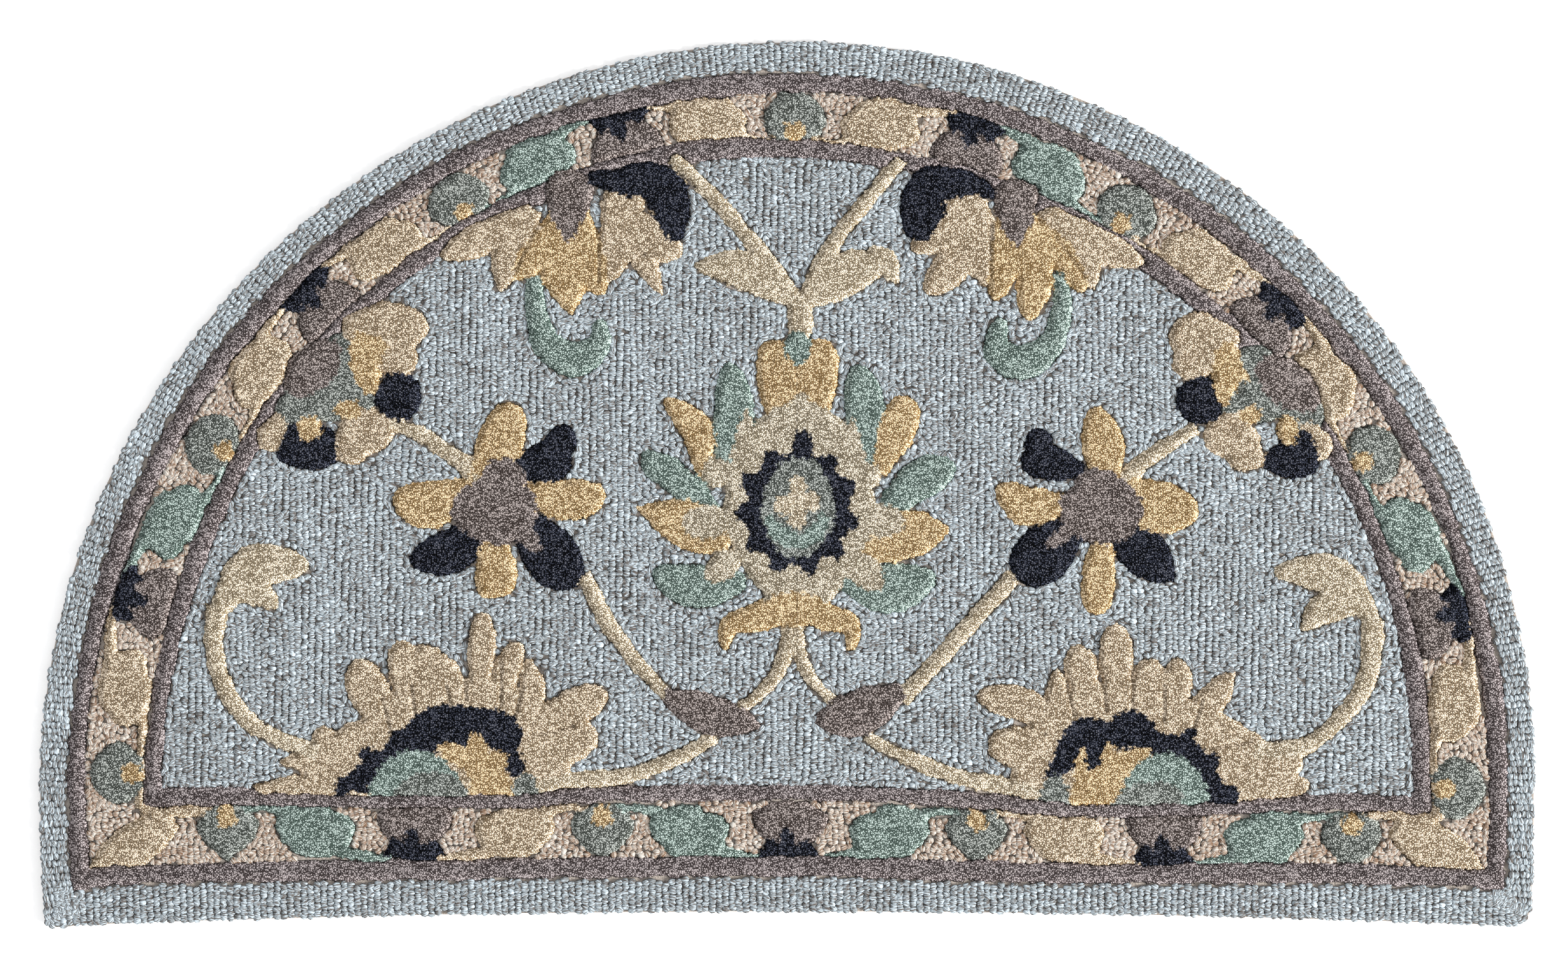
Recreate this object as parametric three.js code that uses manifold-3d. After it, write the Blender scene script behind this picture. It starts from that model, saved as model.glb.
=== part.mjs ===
// Half-round hearth rug: a hand-tufted wool rug that lies flat, with its straight side to the hearth. The loop
// ground is a flat slab with a rounded edge, and the flowers, stems, guard stripes and border motifs are cut pile
// that stands a little above it. Millimetres: x runs along the straight side, y away from the hearth, z up, and
// the origin is under the middle of the rug.
import * as THREE from 'three';
import { mergeVertices } from 'three/addons/utils/BufferGeometryUtils.js';
import Module from 'manifold-3d';

// Heights above the floor, the depth at which the pile is rooted, and the rounding of the rug's edge.
const GROUND_TOP = 8;
const MOTIF_TOP = 11;
const STRIPE_TOP = 10.5;
const PILE_FOOT = 3;
const EDGE_ROUND = 3;
const EDGE_ROUND_STEPS = 2;

// The rug's edge: an arch about a centre on the rug's middle line, then two straight sides and a bowed base.
const ARCH_Y = -233;
const ARCH_RADIUS = 556.7;
const ARCH_SWELL = { cos: 0.3, sin: 10.2, cos2: 2.6, sin2: 2.7 };
const ARCH_STEP = 4;
const BASE_Y = -319.6;
const BASE_BOW = 10.5;
const BASE_HALF = 540;
const BASE_STEPS = 16;

// The guard stripes and the border between them.
const STRIPE_WIDE = 13.5;
const STRIPE_STEP = 6;
const BORDER_RADIUS = 508;
const BORDER_Y = -260.5;
const BORDER_DROP = 3;
const BORDER_DROP_X = 150;
const BORDER_DROP_LONG = 120;
const FIRST_BUD = 178;
const BUD_TURN = 29.55;
const FLOWER_SHARE = 0.48;
const FIRST_BASE_BUD = -418;
const BUD_STEP = 280;

// Smoothness of the motifs: points along each side of a short and a long petal, and between two rows of a stem.
const SHORT_PETAL_STEPS = 5;
const LONG_PETAL_STEPS = 6;
const LONG_PETAL = 50;
const STEM_STEPS = 2;
const LEAF_STEPS = 1;
const ROOT_SHARE = 0.35;

// The carved creases between a flower's petals.
const CREASE_WIDE = 3;
const CREASE_DEEP = 1.6;

const YARN = new THREE.MeshStandardMaterial({ color: 0x9ba3a8, roughness: 0.95, metalness: 0 });

// Rows with named columns, from lines of words and numbers under one heading line.
function table(text) {
  const lines = text.trim().split('\n').map((line) => line.trim().split(/\s+/));
  const head = lines[0];
  const value = (word) => (Number.isNaN(Number(word)) ? word : Number(word));
  return lines.slice(1).map((words) => Object.fromEntries(words.map((word, k) => [head[k], value(word)])));
}

// Corner points of the rug, between its straight sides and its base.
const CORNERS = table(`
  side      x      y
  left   -558.5 -262
  left   -557   -300
  left   -555   -325
  left   -551   -331
  left   -541   -331.3
  right   541   -330.3
  right   550   -328
  right   556   -321
  right   558   -306
  right   559.2 -262
`);

// Each petal runs from its root to its tip. `wide` is its greatest width, `fat` the share of its length at which
// it has it, `bow` how far its middle bends to the left, and `sharp` how pointed its tip is, 0.5 being round.
const PALMETTE = table(`
  root_x root_y tip_x tip_y wide fat  bow  sharp
     10    100    10   142   22  .50    0  .30
    -47      6   -40    93   33  .60   -6  .45
     60      4    52    93   34  .58   -3  .45
    -61      8   -88    65   30  .62   -5  .75
     68      6    93    65   33  .68   -2  .35
    -52    -22  -109    21   29  .62    4  .50
     70    -24   125    17   34  .62    5  .50
    -42    -46  -114   -19   42  .40    3  1.0
     52    -48   123   -34   42  .45    3  .80
    -30    -73  -101   -67   36  .50    6  .50
     38    -70   113   -70   38  .50   -8  .50
      2     30   -11   109   34  .62    0  .45
     14     30    26   109   34  .62    0  .45
      9    -92    10    62  116  .50    0  .50
      6    134   -71   163   38  .48  -11  1.1
     14    134    86   160   38  .55    8  .45
     74    172    80   148   22  .45    0  .60
    -92   -157   -19  -181   31  .50   -3  .80
     87   -154    21  -178   36  .52    4  .80
`);

const ROSETTES = table(`
  root_x root_y tip_x tip_y wide fat  bow  sharp
   -204     12  -162    34   30  .65    0  .50
   -176     14  -165    46   22  .50    0  .50
   -200    -22  -155   -76   46  .55    3  .60
   -230    -32  -285   -58   42  .50    6  .60
   -217      4  -207    64   33  .66    2  .40
   -204     -8  -132    -1   31  .66   -9  .50
   -220    -34  -219   -86   33  .70    2  .30
   -230      4  -296   -13   36  .58    6  .55
    222      8   174    26   36  .60   -2  .50
    192     14   187    45   22  .50    0  .50
    218    -28   170   -70   46  .58   -3  .50
    246    -30   290   -72   40  .50    3  .70
    241      2   230    60   36  .48   -2  .40
    216    -12   154     0   33  .62    9  .55
    236    -34   231   -98   28  .66    0  .45
    246     -6   309   -22   40  .56   -2  .55
   -250    -18  -186   -20   52  .50    0  .45
   -212    -20  -212    20   34  .60    0  .40
    204    -18   266   -20   52  .50    0  .45
    232    -20   232    12   34  .60    0  .40
`);

const HALF_PALMETTES = table(`
  root_x root_y tip_x tip_y wide fat  bow  sharp
   -246   -237  -250  -148  164  .12    0  .50
   -262   -212  -350  -200   54  .55   -4  .60
   -288   -222  -404  -229   24  .45    4  .80
   -310   -210  -381  -207   24  .50    0  1.0
   -335   -205  -352  -180   24  .60    0  .45
   -292   -185  -323  -129   36  .60    2  .55
   -275   -175  -289  -116   30  .62    0  .45
   -244   -165  -270  -118   36  .60   -3  .60
   -230   -170  -230   -94   25  .72    0  .40
   -218   -165  -199  -117   27  .60    0  .50
   -192   -175  -190  -128   30  .62    0  .60
   -200   -180  -132  -153   44  .55    4  .60
   -200   -198  -139  -187   40  .55    0  .80
    250   -243   252  -150  160  .12    0  .50
    285   -205   346  -182   52  .50    0  .80
    320   -215   389  -208   34  .70    0  .40
    300   -226   394  -226   28  .60    0  .50
    340   -205   354  -187   26  .60    0  .45
    295   -190   336  -138   30  .45    2  .60
    292   -175   292  -128   28  .62    0  .45
    270   -175   272  -128   34  .60    0  .45
    247   -170   245  -103   31  .68    0  .45
    224   -165   216  -117   28  .60    0  .55
    196   -175   200  -135   26  .55    0  .70
    205   -180   140  -156   40  .58   -5  .50
    205   -196   147  -192   40  .60    0  .60
`);

const SCROLLS = table(`
  root_x root_y tip_x tip_y wide fat  bow  sharp
   -430   -100  -356   -64   40  .48   14  1.0
   -420    -74  -377   -96   26  .40    4  1.0
    444   -104   364   -71   42  .48  -14  1.0
    428    -86   383  -108   30  .40   -5  1.0
`);

const LOTUSES = table(`
  root_x root_y tip_x tip_y wide fat  bow  sharp
   -190    208  -262   170   38  .55   -2  .60
   -194    208  -215   143   38  .42    0  .80
   -127    222  -134   150   30  .60    0  .45
   -126    212   -92   140   34  .40    2  1.0
   -124    206   -77   170   34  .50   -4  .60
   -160    214  -161   125   48  .55    0  .90
   -156    210  -137   141   30  .60    0  .60
   -168    205  -205   153   34  .55    2  .90
    136    222   149   146   34  .50    0  .80
    138    205   102   140   34  .50   -2  .60
    135    202    91   176   30  .50    0  .80
    196    202   230   146   40  .50   -2  .70
    196    202   268   163   38  .50    4  .80
    160    212   155   136   28  .60    2  .60
    178    205   181   121   38  .55    0  .60
    180    195   224   143   34  .60    4  .50
   -162    242  -164   177   38  .35    0  .80
    174    230   173   177   34  .35    0  .80
`);

const SIDE_FLOWERS = table(`
  root_x root_y tip_x tip_y wide fat  bow  sharp
   -352     56  -323   112   40  .60    0  .50
   -368     62  -306    64   32  .50    0  .50
   -352     66  -380    48   30  .60    0  .50
   -332    116  -271   116   38  .55    2  .45
   -316    104  -276    90   30  .60    0  .45
   -334     46  -294    36   34  .58    0  .50
   -326     52  -324    15   28  .60    0  .45
   -378     52  -390    26   22  .60    0  .50
   -372     68  -336   106   34  .50    0  .50
   -312     66  -272    66   38  .50    0  .45
   -381     24  -335    23   26  .50    0  .40
    366     54   342   104   36  .60    0  .50
    376     62   324    56   28  .50    0  .50
    362     62   402    48   32  .60    0  .50
    338    106   283   112   36  .60   -2  .45
    326     96   288    89   28  .60    0  .50
    334     54   348    10   30  .62   -2  .35
    336     52   320    23   32  .60    0  .45
    388     46   404    20   20  .60    0  .50
    396     58   352    92   34  .50    0  .50
    290     66   328    60   40  .45    0  .45
    357     18   398    20   30  .50    0  .40
`);

// The leaves of the border's two lower corners.
const CORNER_LEAVES = table(`
  root_x root_y tip_x tip_y wide fat  bow  sharp
   -458   -255  -526  -293   38  .40    0  .90
    452   -256   524  -291   44  .40    0  .90
`);

// Stems and other long shapes: one row for each section, in order along the shape.
const STEMS = table(`
  stem           x    y  wide
  neck          10  142   26
  neck           9  128   17
  neck           9  108   18
  topleft        4  140   14
  topleft      -12  165   13
  topleft      -33  190   12
  topleft      -60  220   12
  topleft      -87  245   10
  topright      14  138   14
  topright      27  168   13
  topright      50  201   12
  topright      86  243   11
  skirt        -46 -124    6
  skirt        -43 -106   16
  skirt        -22  -99   22
  skirt          6  -92   25
  skirt         34 -100   20
  skirt         48 -106   16
  skirt         48 -124    7
  stemleft       7  -98   14
  stemleft      -1 -126   13
  stemleft     -14 -150   11
  stemleft     -38 -169   10
  stemright      6  -98   12
  stemright     12 -132   11
  stemright     26 -155   10
  stemright     47 -167    8
  armleft      -86 -159   12
  armleft     -112 -133   12
  armleft     -136 -100   13
  armleft     -152  -66   12
  armright      86 -160   14
  armright     114 -130   13
  armright     142  -98   14
  armright     170  -68   14
  tailleft     -54 -189    9
  tailleft     -82 -204   12
  tailleft    -120 -217   12
  tailleft    -160 -222   14
  tailleft    -198 -232   10
  tailright     58 -188    9
  tailright     90 -204   12
  tailright    124 -217   12
  tailright    156 -223   13
  tailright    194 -235   12
  hubleft     -228    4   20
  hubleft     -248   21   14
  hubleft     -272   36   13
  hubleft     -297   49    9
  hubright     250   -2   18
  hubright     263   14   13
  hubright     284   29   12
  hubright     307   43    9
  scrollleft  -350 -198   12
  scrollleft  -384 -187   11
  scrollleft  -412 -161   11
  scrollleft  -428 -126   14
  scrollleft  -424  -86   22
  scrollright  350 -195   11
  scrollright  384 -194   12
  scrollright  414 -169   12
  scrollright  436 -136   14
  scrollright  438  -96   22
  hookleft    -188  158   14
  hookleft    -188  134   15
  hookleft    -180  106   22
  hookleft    -160   94   28
  hookleft    -141  104   20
  hookleft    -140  121   10
  hookright    203  158    8
  hookright    206  134   14
  hookright    197  104   20
  hookright    174   91   27
  hookright    157  102   22
  hookright    159  122   10
  cornerleft  -408 -243    6
  cornerleft  -440 -244    8
  cornerleft  -484 -243    8
  sideleft    -482 -205    6
  sideleft    -482 -226    8
  sideleft    -483 -243    8
  cornerright  430 -245    7
  cornerright  456 -247   10
  cornerright  486 -248    9
  sideright    484 -208    6
  sideright    486 -226    8
  sideright    486 -250    9
  arcleft     -148  230    9
  arcleft     -126  227   20
  arcleft      -98  226   30
  arcleft      -86  206   30
  arcleft      -83  182    9
  arcright     155  215    6
  arcright     138  224   16
  arcright     110  224   30
  arcright     101  205   34
  arcright      98  183   16
`);

// How far the middles of the two guard stripes lie from the edge at each angle of the arch.
const ARCH_STRIPES = table(`
  deg  outer inner
  180    28    86
  160    28    85
  140    27    79
  120    27    75
  100    30    76
   80    32    83
   50    32    85
   35    30    82
   20    29    84
    0    28    85
`);

// The straight stretches of the guard stripes.
const BASE_STRIPES = table(`
  stem          x    y  wide
  outerleft  -531 -226   13.5
  outerleft  -529 -262   13.5
  outerleft  -528 -296   13.5
  outerbase  -534 -296   14
  outerbase  -480 -291   14
  outerbase  -300 -288   15
  outerbase     0 -285   15
  outerbase   120 -288   15
  outerbase   250 -291   14
  outerbase   400 -290   15
  outerbase   537 -295   13.5
  outerright  532 -226   13.5
  outerright  531 -262   13.5
  outerright  530 -300   13.5
  innerleft  -473 -226   13.5
  innerleft  -473 -239   13.5
  innerbase  -479 -233   14
  innerbase  -405 -233   14
  innerbase  -380 -236    9
  innerbase  -205 -237   10
  innerbase  -160 -232   12
  innerbase   -60 -230   12
  innerbase    60 -231   12
  innerbase   150 -236   12
  innerbase   215 -243    9
  innerbase   330 -242    9
  innerbase   385 -238   11
  innerbase   430 -237   14
  innerbase   481 -240   12
  innerright  475 -226   13.5
  innerright  475 -245   13.5
`);

// One bud, flower and leaf of the border, in millimetres along it and out from its middle.
const BUD = table(`
  root_x root_y tip_x tip_y wide fat bow sharp
    0     -21     0    19   48  .40   0   .60
`);
const FLOWER = table(`
  root_x root_y tip_x tip_y wide fat bow sharp
    0     -22     0    12   60  .45   0   .45
  -22      12    22    12   19  .50   0   .40
`);
const LEAF = table(`
  stem   x    y  wide
  stem   8  -18    5
  stem  34  -17    7
  stem  52   -8   16
  body  30    4    8
  body  42    1   30
  body  60    0   37
  body  78   -1   30
  body  92   -6    8
  tip   70    8   16
  tip   90   15    9
  tip  122   19    5
`);

// The carved creases, from end to end.
const CREASES = table(`
  from_x from_y  to_x  to_y
   -141    207  -141   152
   -188    192  -203   160
   -182    203  -188   190
   -117    177  -107   172
    152    210   152   146
    200    184   222   155
   -303   -160  -296  -186
   -281   -150  -278  -176
   -255   -150  -250  -172
   -243   -125  -240  -160
   -214   -132  -214  -165
   -198   -152  -203  -172
   -160   -180  -190  -186
    310   -160   302  -186
    281   -150   281  -176
    259   -140   257  -168
    235   -140   238  -168
    208   -150   214  -172
    160   -182   192  -186
`);

// Smooth points through rows of numbers, `steps` to a stretch, with both ends kept.
function spline(points, steps) {
  const out = [];
  const last = points.length - 1;
  for (let i = 0; i < last; i += 1) {
    const before = points[Math.max(0, i - 1)];
    const after = points[Math.min(last, i + 2)];
    for (let k = 0; k < steps; k += 1) {
      const t = k / steps;
      out.push(points[i].map((b, n) => {
        const a = before[n];
        const c = points[i + 1][n];
        const d = after[n];
        const bend = (2 * a - 5 * b + 4 * c - d) * t ** 2 + (3 * b - a - 3 * c + d) * t ** 3;
        return (2 * b + (c - a) * t + bend) / 2;
      }));
    }
  }
  out.push(points[last]);
  return out;
}

// The outline of one petal, from its root along both sides to its tip.
function petal(row) {
  const tip = new THREE.Vector2(row.tip_x, row.tip_y);
  const way = tip.clone().sub(new THREE.Vector2(row.root_x, row.root_y));
  const left = new THREE.Vector2(-way.y, way.x).normalize();
  const sides = { left: [], right: [] };
  const steps = way.length() > LONG_PETAL ? LONG_PETAL_STEPS : SHORT_PETAL_STEPS;
  for (let k = 0; k < steps; k += 1) {
    const t = (1 - Math.cos(Math.PI * k / steps)) / 2;
    const share = t < row.fat
      ? ROOT_SHARE + (1 - ROOT_SHARE) * Math.sin(Math.PI / 2 * t / row.fat)
      : (1 - ((t - row.fat) / (1 - row.fat)) ** 2) ** row.sharp;
    const half = share * row.wide / 2;
    const bow = row.bow * Math.sin(Math.PI * t);
    const middle = new THREE.Vector2(row.root_x, row.root_y).addScaledVector(way, t);
    sides.left.push(middle.clone().addScaledVector(left, bow + half));
    sides.right.push(middle.clone().addScaledVector(left, bow - half));
  }
  return [...sides.right, tip, ...sides.left.reverse()];
}

// The outline of a stem: half its width to each side of a smooth line through its rows.
function stroke(rows, steps) {
  const line = spline(rows.map((row) => [row.x, row.y, row.wide]), steps);
  const sides = { left: [], right: [] };
  line.forEach(([x, y, wide], k) => {
    const before = line[Math.max(0, k - 1)];
    const after = line[Math.min(line.length - 1, k + 1)];
    const left = new THREE.Vector2(before[1] - after[1], after[0] - before[0]).normalize();
    sides.left.push(new THREE.Vector2(x, y).addScaledVector(left, wide / 2));
    sides.right.push(new THREE.Vector2(x, y).addScaledVector(left, -wide / 2));
  });
  return [...sides.right, ...sides.left.reverse()];
}

// The rows that share a word in the `stem` column, in the order in which the words come.
function stems(rows) {
  const names = [...new Set(rows.map((row) => row.stem))];
  return names.map((name) => rows.filter((row) => row.stem === name));
}

// The point that lies that far inside the arch's edge at an angle.
function onArch(deg, inset) {
  const a = THREE.MathUtils.degToRad(deg);
  const round = ARCH_SWELL.cos * Math.cos(a) + ARCH_SWELL.sin * Math.sin(a);
  const oval = ARCH_SWELL.cos2 * Math.cos(2 * a) + ARCH_SWELL.sin2 * Math.sin(2 * a);
  const radius = ARCH_RADIUS + round + oval - inset;
  return new THREE.Vector2(radius * Math.cos(a), ARCH_Y + radius * Math.sin(a));
}

// How far the middles of the guard stripes lie from the edge at an angle.
const STRIPE_INSETS = spline(ARCH_STRIPES.map((row) => [row.deg, row.outer, row.inner]), STEM_STEPS);
function stripeInset(deg) {
  const turned = Math.min(STRIPE_INSETS[0][0], Math.max(0, deg));
  const k = Math.max(1, STRIPE_INSETS.findIndex((row) => row[0] <= turned));
  const [from, to] = [STRIPE_INSETS[k - 1], STRIPE_INSETS[k]];
  const share = (from[0] - turned) / (from[0] - to[0]);
  return from.map((value, n) => value + (to[n] - value) * share).slice(1);
}

// The rug's edge, anticlockwise from the right end of the arch.
function rugEdge() {
  const points = [];
  for (let deg = 0; deg <= 180; deg += ARCH_STEP) {
    points.push(onArch(deg, 0));
  }
  const corner = (side) => CORNERS.filter((row) => row.side === side).map((row) => new THREE.Vector2(row.x, row.y));
  points.push(...corner('left'));
  for (let k = 1; k < BASE_STEPS; k += 1) {
    const x = BASE_HALF * (2 * k / BASE_STEPS - 1);
    points.push(new THREE.Vector2(x, BASE_Y - BASE_BOW * (x / BASE_HALF) ** 2));
  }
  points.push(...corner('right'));
  return points;
}

// Takes a point of one border motif to the arch, centred on an angle, mirrored where way is -1.
function archPlace(deg, way) {
  return (point) => {
    const turned = deg - way * THREE.MathUtils.radToDeg(point.x / BORDER_RADIUS);
    const [outer, inner] = stripeInset(turned);
    return onArch(turned, (outer + inner) / 2 - point.y);
  };
}

// Takes a point of one border motif to the straight border, whose middle drops a little to the right.
function basePlace(x, way) {
  return (point) => {
    const along = x + way * point.x;
    const drop = BORDER_DROP * (1 + Math.tanh((along - BORDER_DROP_X) / BORDER_DROP_LONG));
    return new THREE.Vector2(along, BORDER_Y - drop - point.y);
  };
}

// The outlines of the border's motifs: a bud, a leaf, a flower and a leaf in turn.
function border() {
  const petals = [...BUD.map(petal)];
  const flower = FLOWER.map(petal);
  const leaf = stems(LEAF).map((rows) => stroke(rows, LEAF_STEPS));
  const out = [];
  const add = (outlines, place) => out.push(...outlines.map((outline) => outline.map(place)));
  const archBuds = Math.round(FIRST_BUD / BUD_TURN);
  for (let k = 0; k <= archBuds; k += 1) {
    const deg = FIRST_BUD - k * BUD_TURN;
    add(petals, archPlace(deg, 1));
    if (k < archBuds) {
      add(leaf, archPlace(deg, 1));
      add(leaf, archPlace(deg - BUD_TURN, -1));
      add(flower, archPlace(deg - FLOWER_SHARE * BUD_TURN, 1));
    }
  }
  const baseBuds = Math.round(-2 * FIRST_BASE_BUD / BUD_STEP);
  for (let k = 0; k <= baseBuds; k += 1) {
    const x = FIRST_BASE_BUD + k * BUD_STEP;
    add(petals, basePlace(x, 1));
    if (k < baseBuds) {
      add(leaf, basePlace(x, 1));
      add(leaf, basePlace(x + BUD_STEP, -1));
      add(flower, basePlace(x + BUD_STEP / 2, 1));
    }
  }
  return out;
}

// The outlines of both guard stripes over the arch.
function archStripes() {
  return [0, 1].map((which) => {
    const rows = [];
    for (let deg = 180; deg >= 0; deg -= STRIPE_STEP) {
      const point = onArch(deg, stripeInset(deg)[which]);
      rows.push({ x: point.x, y: point.y, wide: STRIPE_WIDE });
    }
    return stroke(rows, 1);
  });
}

const wasm = await Module();
wasm.setup();

// A closed geometry as a solid that can be joined and cut.
function solid(geometry) {
  const bare = geometry.clone();
  bare.deleteAttribute('normal');
  bare.deleteAttribute('uv');
  const merged = mergeVertices(bare);
  return new wasm.Manifold(new wasm.Mesh({
    numProp: 3,
    vertProperties: new Float32Array(merged.attributes.position.array),
    triVerts: new Uint32Array(merged.index.array),
  }));
}

// The ground's slab, with its upper and lower rims rounded inwards.
function slab(outline) {
  const geometry = new THREE.ExtrudeGeometry(new THREE.Shape(outline), {
    depth: GROUND_TOP - 2 * EDGE_ROUND,
    bevelEnabled: true,
    bevelThickness: EDGE_ROUND,
    bevelSize: EDGE_ROUND,
    bevelOffset: -EDGE_ROUND,
    bevelSegments: EDGE_ROUND_STEPS,
  });
  geometry.translate(0, 0, EDGE_ROUND);
  return solid(geometry);
}

// The cut pile inside an outline, up to a top height.
function pile(outline, top) {
  const geometry = new THREE.ExtrudeGeometry(new THREE.Shape(outline), { depth: top - PILE_FOOT, bevelEnabled: false });
  geometry.translate(0, 0, PILE_FOOT);
  return solid(geometry);
}

// A V-shaped groove in the top of the pile, from one end to the other.
function crease(row) {
  const section = new THREE.Shape([
    new THREE.Vector2(0, -CREASE_DEEP),
    new THREE.Vector2(CREASE_WIDE, CREASE_DEEP),
    new THREE.Vector2(-CREASE_WIDE, CREASE_DEEP),
  ]);
  const way = new THREE.Vector2(row.to_x - row.from_x, row.to_y - row.from_y);
  const geometry = new THREE.ExtrudeGeometry(section, { depth: way.length(), bevelEnabled: false });
  geometry.rotateX(Math.PI / 2);
  geometry.rotateZ(way.angle() + Math.PI / 2);
  geometry.translate(row.from_x, row.from_y, MOTIF_TOP);
  return solid(geometry);
}

const motifs = [
  ...[PALMETTE, ROSETTES, HALF_PALMETTES, SCROLLS, LOTUSES, SIDE_FLOWERS, CORNER_LEAVES].flat().map(petal),
  ...stems(STEMS).map((rows) => stroke(rows, STEM_STEPS)),
  ...border(),
];
const stripes = [...archStripes(), ...stems(BASE_STRIPES).map((rows) => stroke(rows, 1))];
const tufts = [
  ...motifs.map((outline) => pile(outline, MOTIF_TOP)),
  ...stripes.map((outline) => pile(outline, STRIPE_TOP)),
];
const whole = tufts.reduce((body, piece) => body.add(piece), slab(rugEdge()));
const carved = CREASES.reduce((body, row) => body.subtract(crease(row)), whole);

const mesh = carved.getMesh();
const geometry = new THREE.BufferGeometry();
geometry.setAttribute('position', new THREE.BufferAttribute(mesh.vertProperties, mesh.numProp));
geometry.setIndex(new THREE.BufferAttribute(mesh.triVerts, 1));
geometry.computeVertexNormals();

const rug = new THREE.Mesh(geometry, YARN);
rug.name = 'rug';

const hearthRug = new THREE.Group();
hearthRug.add(rug);

export default hearthRug;
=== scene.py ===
import math

import bmesh
import bpy
import numpy as np
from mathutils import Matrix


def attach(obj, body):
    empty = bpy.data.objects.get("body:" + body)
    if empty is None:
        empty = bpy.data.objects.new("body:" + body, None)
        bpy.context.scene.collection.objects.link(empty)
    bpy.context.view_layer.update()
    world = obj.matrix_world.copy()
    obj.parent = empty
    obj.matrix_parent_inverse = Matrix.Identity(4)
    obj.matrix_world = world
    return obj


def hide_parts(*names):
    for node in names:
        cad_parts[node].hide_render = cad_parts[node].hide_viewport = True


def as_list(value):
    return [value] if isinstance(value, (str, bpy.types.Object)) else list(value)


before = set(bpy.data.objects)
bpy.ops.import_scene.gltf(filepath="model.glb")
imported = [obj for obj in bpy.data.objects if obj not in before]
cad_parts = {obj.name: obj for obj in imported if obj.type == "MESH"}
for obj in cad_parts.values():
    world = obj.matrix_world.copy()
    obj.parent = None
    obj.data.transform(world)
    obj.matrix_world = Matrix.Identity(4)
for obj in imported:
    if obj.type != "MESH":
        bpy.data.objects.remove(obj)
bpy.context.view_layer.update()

# A half-round hearth rug, hand tufted in wool: a ground of blue-grey loops in columns, a border of cream
# loops, and flowers, stems, guard stripes and border leaves in cut pile that stands above them. Sizes are in
# millimetres until a mesh is made. x runs along the straight side, y from there to the top of the arch, z up.
MM = 0.001
SEED = 7

# Heights above the floor.
LOOP_MIDDLE = 6.2
PILE_FOOT = 4.2
PILE_RIM = 6.9
MOTIF_TOP = 11
STRIPE_TOP = 10.4

# How far the cut pile's shoulders reach in from the rim, the gap between tufts and the share of it by which
# each lies aside, how uneven the pile is, how its rim frays and how far painted light pales it, and where two
# pieces of it meet.
MOTIF_SHOULDER = 5.2
STRIPE_SHOULDER = 6.8
TUFT = 1.4
TUFT_ASIDE = 0.25
TUFT_UNEVEN = 0.34
PILE_ROLL = 0.5
PILE_ROLL_LONG = 14
FRAY = 0.8
FRAY_FINE_LONG = 3.2
FRAY_WIDE_LONG = 11
RIM_PAINTED_LIGHT = 0.5
PILE_JOINT = 8.0
CREASE_WIDE = 2.2
CREASE_DEEP = 1.9

# The needle rows in which one wool gives way to the next, and how far each reaches into the other. The two
# primes give each place in the rows a number of its own.
NEEDLE_STEP = 2.8
NEEDLE_REACH = 3.4
NEEDLE_PRIMES = (73856093, 19349663)

# The rug's edge: an arch about a centre on the rug's middle line, then two straight sides and a bowed base.
# ARCH_SWELL is how far the arch swells with the cosine and sine of its angle, then with those of twice it.
ARCH_Y = -233
ARCH_RADIUS = 556.7
ARCH_SWELL = (0.3, 10.2, 2.6, 2.7)
BASE_Y = -319.6
BASE_BOW = 10.5
BASE_HALF = 540

# The guard stripes and the border between them.
STRIPE_WIDE = 13.8
STRIPE_UNEVEN = 1.8
STRIPE_WAVE = 0.21
STRIPE_SLOW_WAVE = 0.083
BORDER_RADIUS = 508
BORDER_Y = -260.5
BORDER_DROP = 3
BORDER_DROP_X = 150
BORDER_DROP_LONG = 120
FIRST_BUD = 178
BUD_TURN = 29.55
FLOWER_SHARE = 0.51
FIRST_BASE_BUD = -418
BUD_STEP = 280

# Smoothness of the outlines, the step between points of the cloth's edge, the share of its width that a petal
# has at its root, and the chart's cells.
PETAL_STEPS = 10
STEM_STEPS = 4
BASE_POINTS = 80
CLOTH_STEP = 5.0
ROOT_SHARE = 0.35
CELL = 0.8
CHART_HALF_WIDE = 568
CHART_HALF_TALL = 340

# The loops: their size, how far they stray, tilt and turn, and how uneven they are.
LOOP_WIDE = 6.7
LOOP_LONG = 5.6
LOOP_TALL = 3.0
ROUND_LOOP_WIDE = LOOP_WIDE * 0.94
LOOP_ASIDE = 0.28
BORDER_LOOP_ASIDE = 0.4
LOOP_TILT = 0.28
LOOP_TURN = 0.6
LOOP_UNEVEN = 0.11

# Columns of loops over the field, and round the edge, where each lies about so much of a loop past the last.
COLUMN_STEP = 5.0
LOOP_STEP = 3.75
FIELD_COLUMNS = (-96, 97)
FIELD_ROWS = (-76, 153)
COLUMN_WAVE = 0.8
COLUMN_WAVE_TURN = 0.9
ROW_WAVE_TURN = 0.17
COLUMN_PAST = (0.3, 0.15)
EDGE_LOOP_INSET = 2.1
EDGE_LOOP_ROWS = 8
BORDER_STEP = 4.0
BORDER_LOOP = 4.3
BORDER_INSET = 34
BORDER_ROWS = 13
BORDER_HALF = 26
BORDER_BASE_Y = ARCH_Y - 8

# One row of loops follows the pile's rim, on a narrow strip. Columns start beyond it in the field and border,
# but right at the rim in the outer band. Loops that are crowded make way, and others fill what is left.
RIM_LOOP_GAP = 2.0
RIM_LOOP_STRIP = 0.45
RIM_LOOP_STEP = 3.8
RIM_LOOP_ASIDE = 0.6
COLUMN_START = 4.0
BAND_START = 1.6
FILL_START = 1.7
CROWDED = 0.82
FILL_STEP = 1.7
FILL_GAP = 3.1
FILL_X = (-530, 530)
FILL_Y = (-300, 320)

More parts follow.
